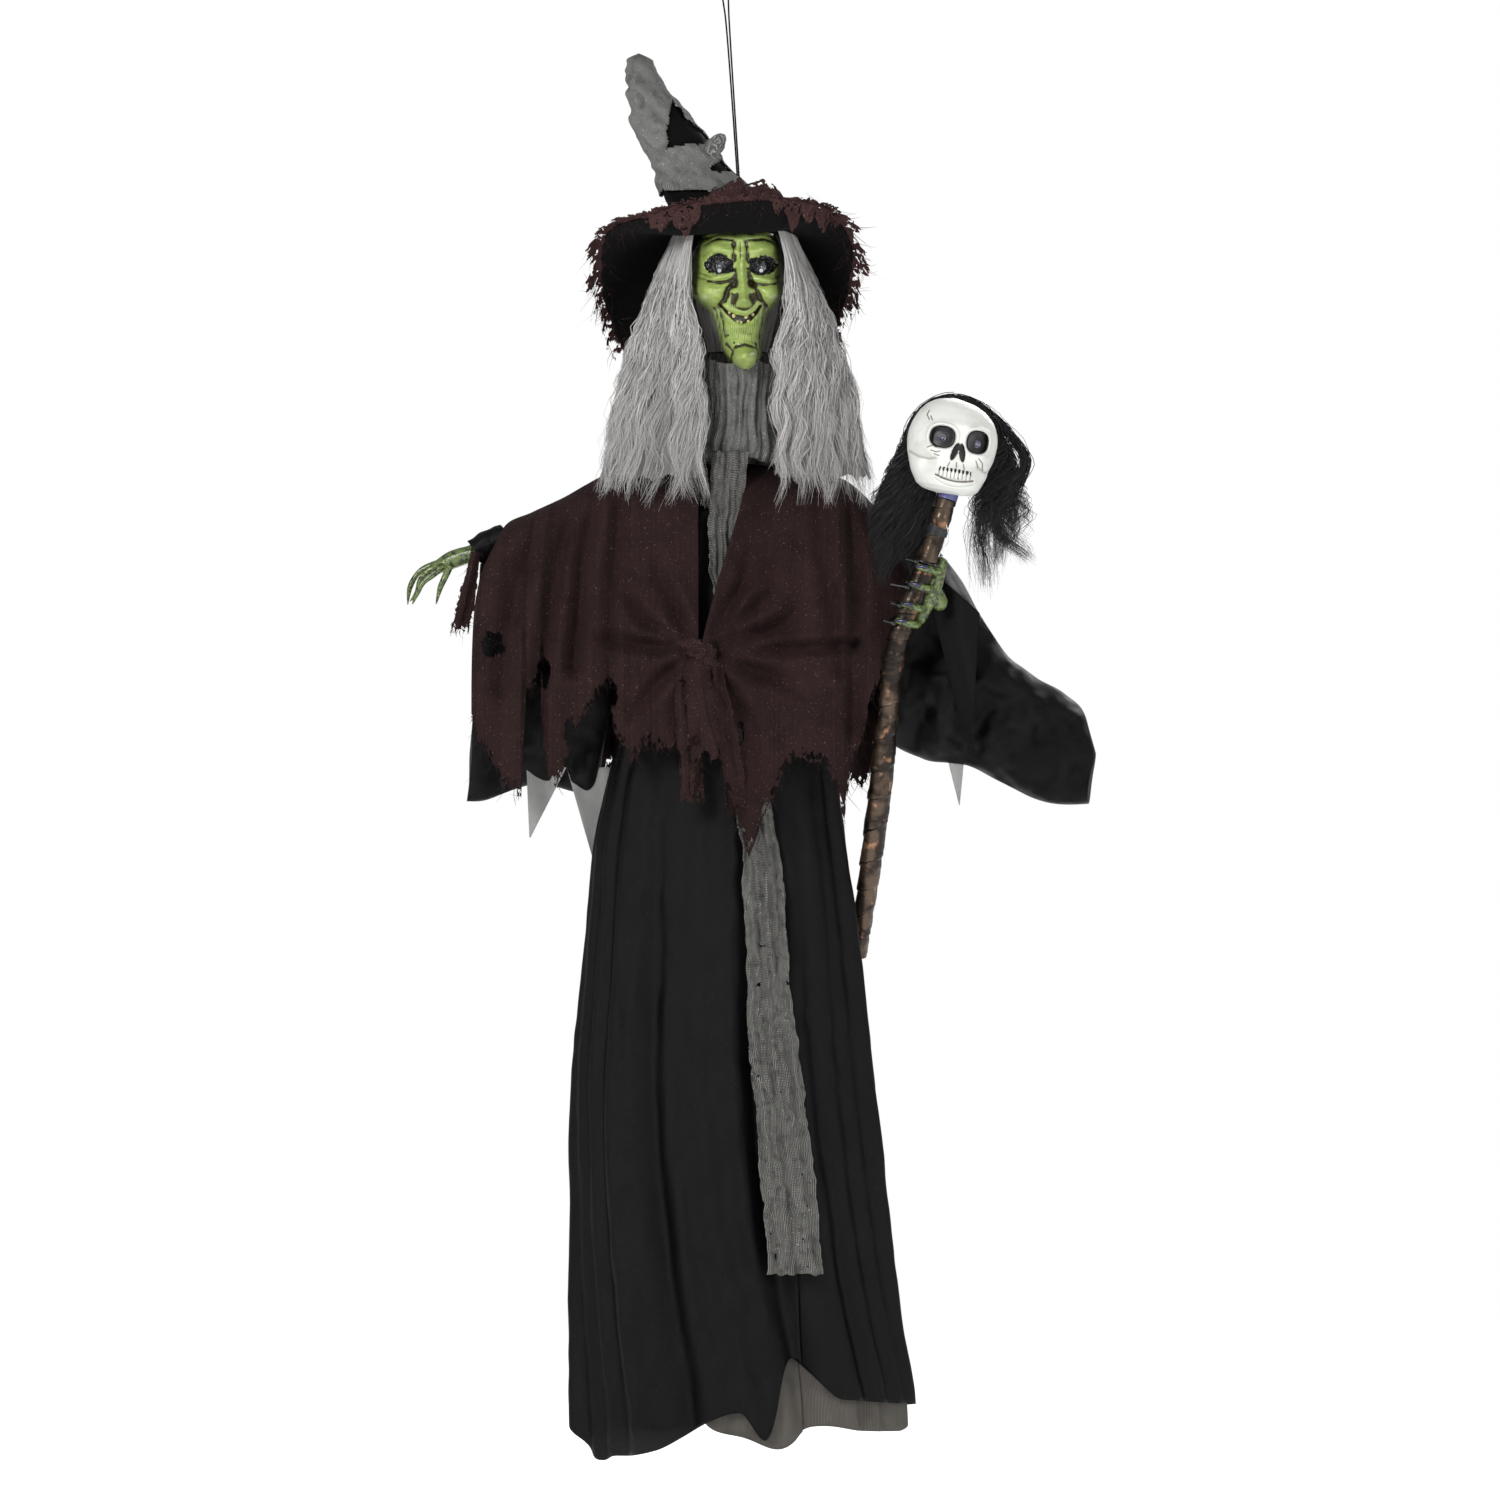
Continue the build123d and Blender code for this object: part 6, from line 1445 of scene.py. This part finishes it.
# ------------------------------------------------------------------ skull
skull_mid = np.array([292.0, -95.0, -618.0])
skull_lean = math.radians(10)
skull_sizes = [  # (height, half width, middle across)
    (-60, 8, 4), (-58, 24, 4), (-53, 37, 3.3), (-46, 43, 2.5), (-38, 47, 1.5), (-29, 50.5, 1), (-22, 52, 0),
    (-12, 55.5, 0), (-2, 57.5, 0), (14, 58, 0), (30, 54, 0), (45, 45, -1), (55, 33, -3), (61, 18, -5),
    (64, 2, -6),
]
skull_rows, skull_columns = 280, 300
local_z = 2 + 62 * np.cos(np.linspace(0, PI, skull_rows))[:, None]
ring_turn = np.linspace(0, 2 * PI, skull_columns, endpoint=False)[None]
skull_half, skull_shift = np.moveaxis(smooth(local_z + 0 * ring_turn, skull_sizes), -1, 0)
local_x = skull_shift + skull_half * np.sin(ring_turn)
local_z = local_z + 0 * ring_turn
local_y = -skull_half * np.cos(ring_turn) * (
    0.9 + 0.16 * (1 - ease(local_z, -50, 10)) * (np.cos(ring_turn) > 0)
)
is_face = ease(np.cos(ring_turn), 0.0, 0.3)
skull_middle = 9.5  # the skull looks a little to the right, so its features lie off its middle


def skull_features(across, z):
    """Relief, shading and black paint of the skull's front."""
    x = across - skull_middle
    height = 4.0 * hill(x, z, (-23, 27), (21, 6), 8) + 4.0 * hill(x, z, (23, 27), (19, 6), -8)
    height += 7.0 * hill(x, z, (-38, -8), (12, 6), -20) + 7.0 * hill(x, z, (34, -9), (10, 6), 20)
    height -= 7.0 * hill(x, z, (-38, -28), (10, 11)) + 6.0 * hill(x, z, (33, -28), (9, 11))
    height += 7.0 * hill(x, z, (0, -34), (21, 12))
    height -= 3.0 * hill(x, z, (-52, 24), (10, 14)) + 2.0 * hill(x, z, (44, 24), (6, 14))
    black = np.zeros(x.shape)
    for at, size in (((-23.5, 10.7), (16.5, 14.2)), ((22, 11.6), (14.6, 15.0))):
        reach = np.abs((x - at[0]) / size[0]) ** 2.4 + np.abs((z - at[1]) / size[1]) ** 2.4
        hole = ease(1.2 - reach, 0.0, 0.4)
        black = np.maximum(black, hole)
        height -= 12 * hole
        height += 2.4 * np.exp(-(((reach - 1.5) / 0.4) ** 2))
    for side in (-1, 1):
        slant = side * (4.4 + 0.22 * (-z - 4))
        reach = ((x - slant) / 4.2) ** 2 + ((z + 5.5) / 12.0) ** 2
        hole = ease(1.2 - reach, 0.0, 0.5)
        black = np.maximum(black, hole)
        height -= 6 * hole
    tooth = 5.1
    row = ease(-z, 27, 31) * (1 - ease(-z, 39.5, 41.5)) * (np.abs(x) < 4.1 * tooth)
    gap = np.abs(np.sin(x * PI / tooth))
    height += 3.0 * row * gap**0.4
    shade = 0.95 * row * (gap < 0.3)
    sunk = ease(-z, 26.5, 28) * (1 - ease(-z + 3.5 * gap, 33.5, 34.5)) * (np.abs(x) < 4.1 * tooth)
    black = np.maximum(black, sunk * (gap < 0.8))
    plate = np.exp(-(((z + 43 - 0.008 * x * x) / 1.3) ** 2)) * (np.abs(x) < 25)
    shade = np.maximum(shade, plate)
    height -= 3.0 * plate
    chin_step = np.exp(-(((z + 50 - 0.012 * x * x) / 1.2) ** 2)) * (np.abs(x) < 26)
    height -= 1.5 * chin_step
    shade = np.maximum(shade, 0.45 * chin_step)
    cracks = [[(-41, -6), (-34, -2), (-29, -4)], [(-36, -9), (-28, -10), (-24, -8)], [(-31, -13), (-24, -14)],
              [(27, -9), (33, -14), (35, -22)], [(24, -12), (28, -20)], [(-44, 30), (-48, 36), (-46, 42)],
              [(-40, 30), (-43, 35)], [(0, -19), (0.5, -26)], [(-9, -20), (-11, -26)], [(9, -20), (11, -26)]]
    for points in cracks:
        line = np.exp(-((line_distance(x, z, points) / 0.9) ** 2))
        shade = np.maximum(shade, line)
        height -= 1.0 * line
    cheek_lines = [[(-62, -14), (-50, -19), (-36, -20), (-28, -18)], [(48, -22), (38, -24), (28, -20)]]
    for points in cheek_lines:
        line = np.exp(-((line_distance(x, z, points) / 2.4) ** 2))
        height -= 3.0 * line
        shade = np.maximum(shade, 0.55 * line)
    return height, shade, black


skull_height, skull_shade, skull_black = skull_features(local_x, local_z)
skull_height = skull_height * is_face
soft = layered_noise(np.stack([local_x, local_y, local_z], -1), 16.0, 3, 4)
local = np.stack([local_x + soft * 0.4 * np.sin(ring_turn), local_y - skull_height - 0.4 * soft, local_z], -1)
c, s = math.cos(skull_lean), math.sin(skull_lean)
lean = np.array([[c, 0, s], [0, 1, 0], [-s, 0, c]])
skull_faces = grid_faces(skull_rows, skull_columns, True)
skull = mesh("skull_shell", skull_mid + local @ lean.T, skull_faces, skull_paint,
             {"shade": skull_shade * is_face, "black": skull_black * is_face})
place(skull, "left_arm", "skull_paint", "skull_front", "skull_back")

skull_lens_parts = []
for ex, ez in ((-14, 9.5), (31.5, 9.0)):
    i = np.argmin((local_x - ex) ** 2 + (local_z - ez) ** 2 + 1e4 * (np.cos(ring_turn) < 0))
    spot = skull_mid + lean @ local.reshape(-1, 3)[i]
    skull_lens_parts.append(ball_parts(spot, (3.4, 3.0, 3.4)))
    angle = np.linspace(0, 2 * PI, 30)
    circle = spot + np.stack([4.3 * np.cos(angle), -0.6 + 0 * angle, 4.3 * np.sin(angle)], -1)
    skull_lens_parts.append(tube_parts(circle, 0.7, 8)[:2])
skull_lenses = mesh("skull_lamps", *joined(skull_lens_parts), purple_lens)
place(skull_lenses, "left_arm", "purple_lamp", "skull_leds")
collar_top = staff_at(0.0)[0]
collar_line = np.array([collar_top + (3, -1, 10), collar_top + (1.5, 0, 5), collar_top])
collar_points, collar_faces, _ = tube_parts(collar_line, 12.6, 30)
collar = mesh("skull_neck_collar", collar_points, collar_faces, collar_finish)
place(collar, "left_arm", "purple_lamp")

def skull_locks(name, side, count, low, outward, wave):
    """Black hair that leaves the top of the skull, follows its side and falls."""
    steps = 30
    own = random.integers(0, 30, count)
    bunch = random.uniform(0, 1, (30, 4))
    depth = random.normal(0, 1, count)[:, None]
    s = np.linspace(0, 1, steps)[None]
    radius = 55 + 3.0 * np.abs(random.normal(0, 1, count))[:, None]
    leave = np.radians(random.uniform(50, 95, count))[:, None]
    angle = np.minimum(s / 0.3, 1) * leave
    fallen = np.clip((s - 0.3) / 0.7, 0, 1)
    end = low + 70 * bunch[own, 1][:, None] + random.uniform(0, 24, (count, 1))
    x = skull_mid[0] + 4 + side * radius * np.sin(angle)
    z_arc = skull_mid[2] + 6 + radius * np.cos(angle)
    z = z_arc + (end - z_arc) * fallen**1.1
    beat = 2 * PI * (s * 4.2 + bunch[own, 2][:, None]) + random.normal(0, 0.3, (count, 1))
    drift = (outward[0] + (outward[1] - outward[0]) * bunch[own, 0])[:, None]
    x = x + ease(s, 0.2, 0.5) * wave * np.sin(beat) + side * drift * ease(fallen, 0, 0.8)
    x = x + random.normal(0, 3.0, (count, 1)) * s
    y = skull_mid[1] + 24 + 5 * depth + 5 * np.cos(beat) * s
    paths = np.stack([x, y, z], -1)
    paths += random.normal(0, 0.6, paths.shape)
    strands = strand_ribbons(name, paths, 0.75, black_hair)
    return place(strands, "left_arm", "black_hair", *(("skull_hair",) if side < 0 else ()))


skull_locks("skull_hair_left", -1, 3400, -800, (-20, 46), 9)
skull_locks("skull_hair_right", 1, 420, -770, (-20, 36), 12)
lock_share = np.linspace(0, 1, 36)
right_locks = [  # (strands, looseness, line) of the wavy locks on the skull's right
    (150, 5.0, [(0, 296, -555), (0.2, 334, -566), (0.4, 368, -600), (0.55, 388, -634), (0.7, 374, -668),
                (0.85, 356, -712), (1, 350, -764)]),
    (110, 4.0, [(0, 300, -558), (0.25, 346, -590), (0.45, 372, -640), (0.6, 352, -684), (0.8, 352, -722),
                (1, 392, -760)]),
    (150, 7.0, [(0, 304, -560), (0.3, 350, -612), (0.55, 342, -664), (0.8, 330, -724), (1, 338, -790)]),
    (90, 5.0, [(0, 300, -556), (0.3, 348, -604), (0.5, 364, -660), (0.75, 372, -704), (1, 366, -744)]),
]
for number, (count, loose, line) in enumerate(right_locks):
    middle = smooth(lock_share, line)
    lock = np.stack([middle[:, 0], np.full(36, skull_mid[1] + 29), middle[:, 1]], -1)[None]
    apart = random.normal(0, 1, (count, 1, 3)) * (1.0 + loose * lock_share[None, :, None])
    ripple = 3.0 * np.sin(2 * PI * (4.5 * lock_share[None] + 0.25 * random.normal(0, 1, (count, 1))))
    lock = lock + apart + random.normal(0, 0.5, (count, 36, 3))
    lock[..., 0] += ripple * lock_share[None]
    place(strand_ribbons(f"skull_lock_{number}", lock, 0.7, black_hair), "left_arm", "black_hair")


# ------------------------------------------------------------------ finishes of the CAD nodes that show
slot_finishes = {
    "steel": plain("zinc_steel", srgb(150, 152, 156), 0.35, srgb(118, 120, 124), 3.0, 0.05, Metallic=1.0),
    "brass_part": plain("brass", srgb(176, 150, 92), 0.3, srgb(140, 118, 70), 2.0, 0.05, Metallic=1.0),
    "wire": plain("wire_cover", srgb(24, 24, 26), 0.5, srgb(40, 40, 42), 2.0, 0.05),
    "gear_plastic": plain("acetal", srgb(214, 212, 202), 0.45, srgb(190, 188, 176), 2.0, 0.05),
    "housing": plain("black_moulding", srgb(22, 22, 23), 0.55, srgb(38, 38, 39), 1.5, 0.12),
    "lamp": plain("lamp_body", srgb(180, 186, 190), 0.15, srgb(140, 146, 150), 1.0, 0.03),
    "arm_metal": plain("arm_metal", srgb(150, 150, 150), 0.4, srgb(120, 120, 120), 3.0, 0.1, Metallic=1.0),
    "board": plain("board", srgb(22, 84, 48), 0.4, srgb(16, 58, 34), 2.0, 0.05),
    "cell": plain("cell_wrap", srgb(120, 122, 126), 0.35, srgb(60, 60, 64), 6.0, 0.05, Metallic=0.4),
    "cone_paper": plain("cone_paper", srgb(26, 26, 27), 0.7, srgb(44, 44, 45), 1.2, 0.1),
}
node_slots = {part["node"]: part["material_slot"] for part in frame["record"]["subparts"]}
for name, node in frame["nodes"].items():
    finish = slot_finishes.get(node_slots[name])
    if finish:
        node.data.materials.clear()
        node.data.materials.append(finish.material)


# ------------------------------------------------------------------ studio
view_w = 1.95
camera_far = 12.0
camera_at = Vector((0.0325, -camera_far, -1.0075))
camera_data = bpy.data.cameras.new("camera")
camera_data.sensor_width = 36
camera_data.lens = camera_data.sensor_width / view_w * camera_far
camera = bpy.data.objects.new("camera", camera_data)
camera.location = camera_at
camera.rotation_euler = (PI / 2, 0, 0)
bpy.context.scene.collection.objects.link(camera)
bpy.context.scene.camera = camera

floor_finish = Finish("floor_paint", (0.9, 0.9, 0.9, 1), 0.9, Emission_Color=(1, 1, 1, 1),
                      Emission_Strength=0.62)
floor_finish.bump(floor_finish.noise(400.0), 0.5, 0.1)
floor_z = cad_bounds[0][2] / MM - 150
floor_r = np.array([0, 1500, 3000, 6000])[:, None]
floor_turn = np.linspace(0, 2 * PI, 64, endpoint=False)[None]
floor_points = np.stack([floor_r * np.cos(floor_turn), floor_r * np.sin(floor_turn),
                         floor_z + 0 * floor_r + 0 * floor_turn], -1)
floor = mesh("floor", floor_points, grid_faces(4, 64, True), floor_finish.material)


def soft_light(name, at, aim, size, power):
    """A square soft light that points at a spot."""
    data = bpy.data.lights.new(name, "AREA")
    data.size = size
    data.energy = power
    light = bpy.data.objects.new(name, data)
    light.location = at
    light.rotation_euler = (Vector(aim) - Vector(at)).to_track_quat("-Z", "Y").to_euler()
    bpy.context.scene.collection.objects.link(light)


soft_light("key", (-2.0, -3.4, 1.0), (0, 0, -0.8), 1.2, 120)
soft_light("fill", (2.6, -3.0, -0.2), (0, 0, -1.0), 1.6, 45)
soft_light("rim", (1.2, 2.4, 0.8), (0, 0, -0.8), 1.6, 60)
world = bpy.data.worlds.new("world")
world.use_nodes = True
background = world.node_tree.nodes["Background"]
background.inputs["Color"].default_value = (1, 1, 1, 1)
light_path = world.node_tree.nodes.new("ShaderNodeLightPath")
strength = world.node_tree.nodes.new("ShaderNodeMapRange")
strength.inputs["To Min"].default_value = 0.38
strength.inputs["To Max"].default_value = 1.0
world.node_tree.links.new(light_path.outputs["Is Camera Ray"], strength.inputs["Value"])
world.node_tree.links.new(strength.outputs["Result"], background.inputs["Strength"])
bpy.context.scene.world = world
bpy.context.scene.view_settings.view_transform = "Standard"
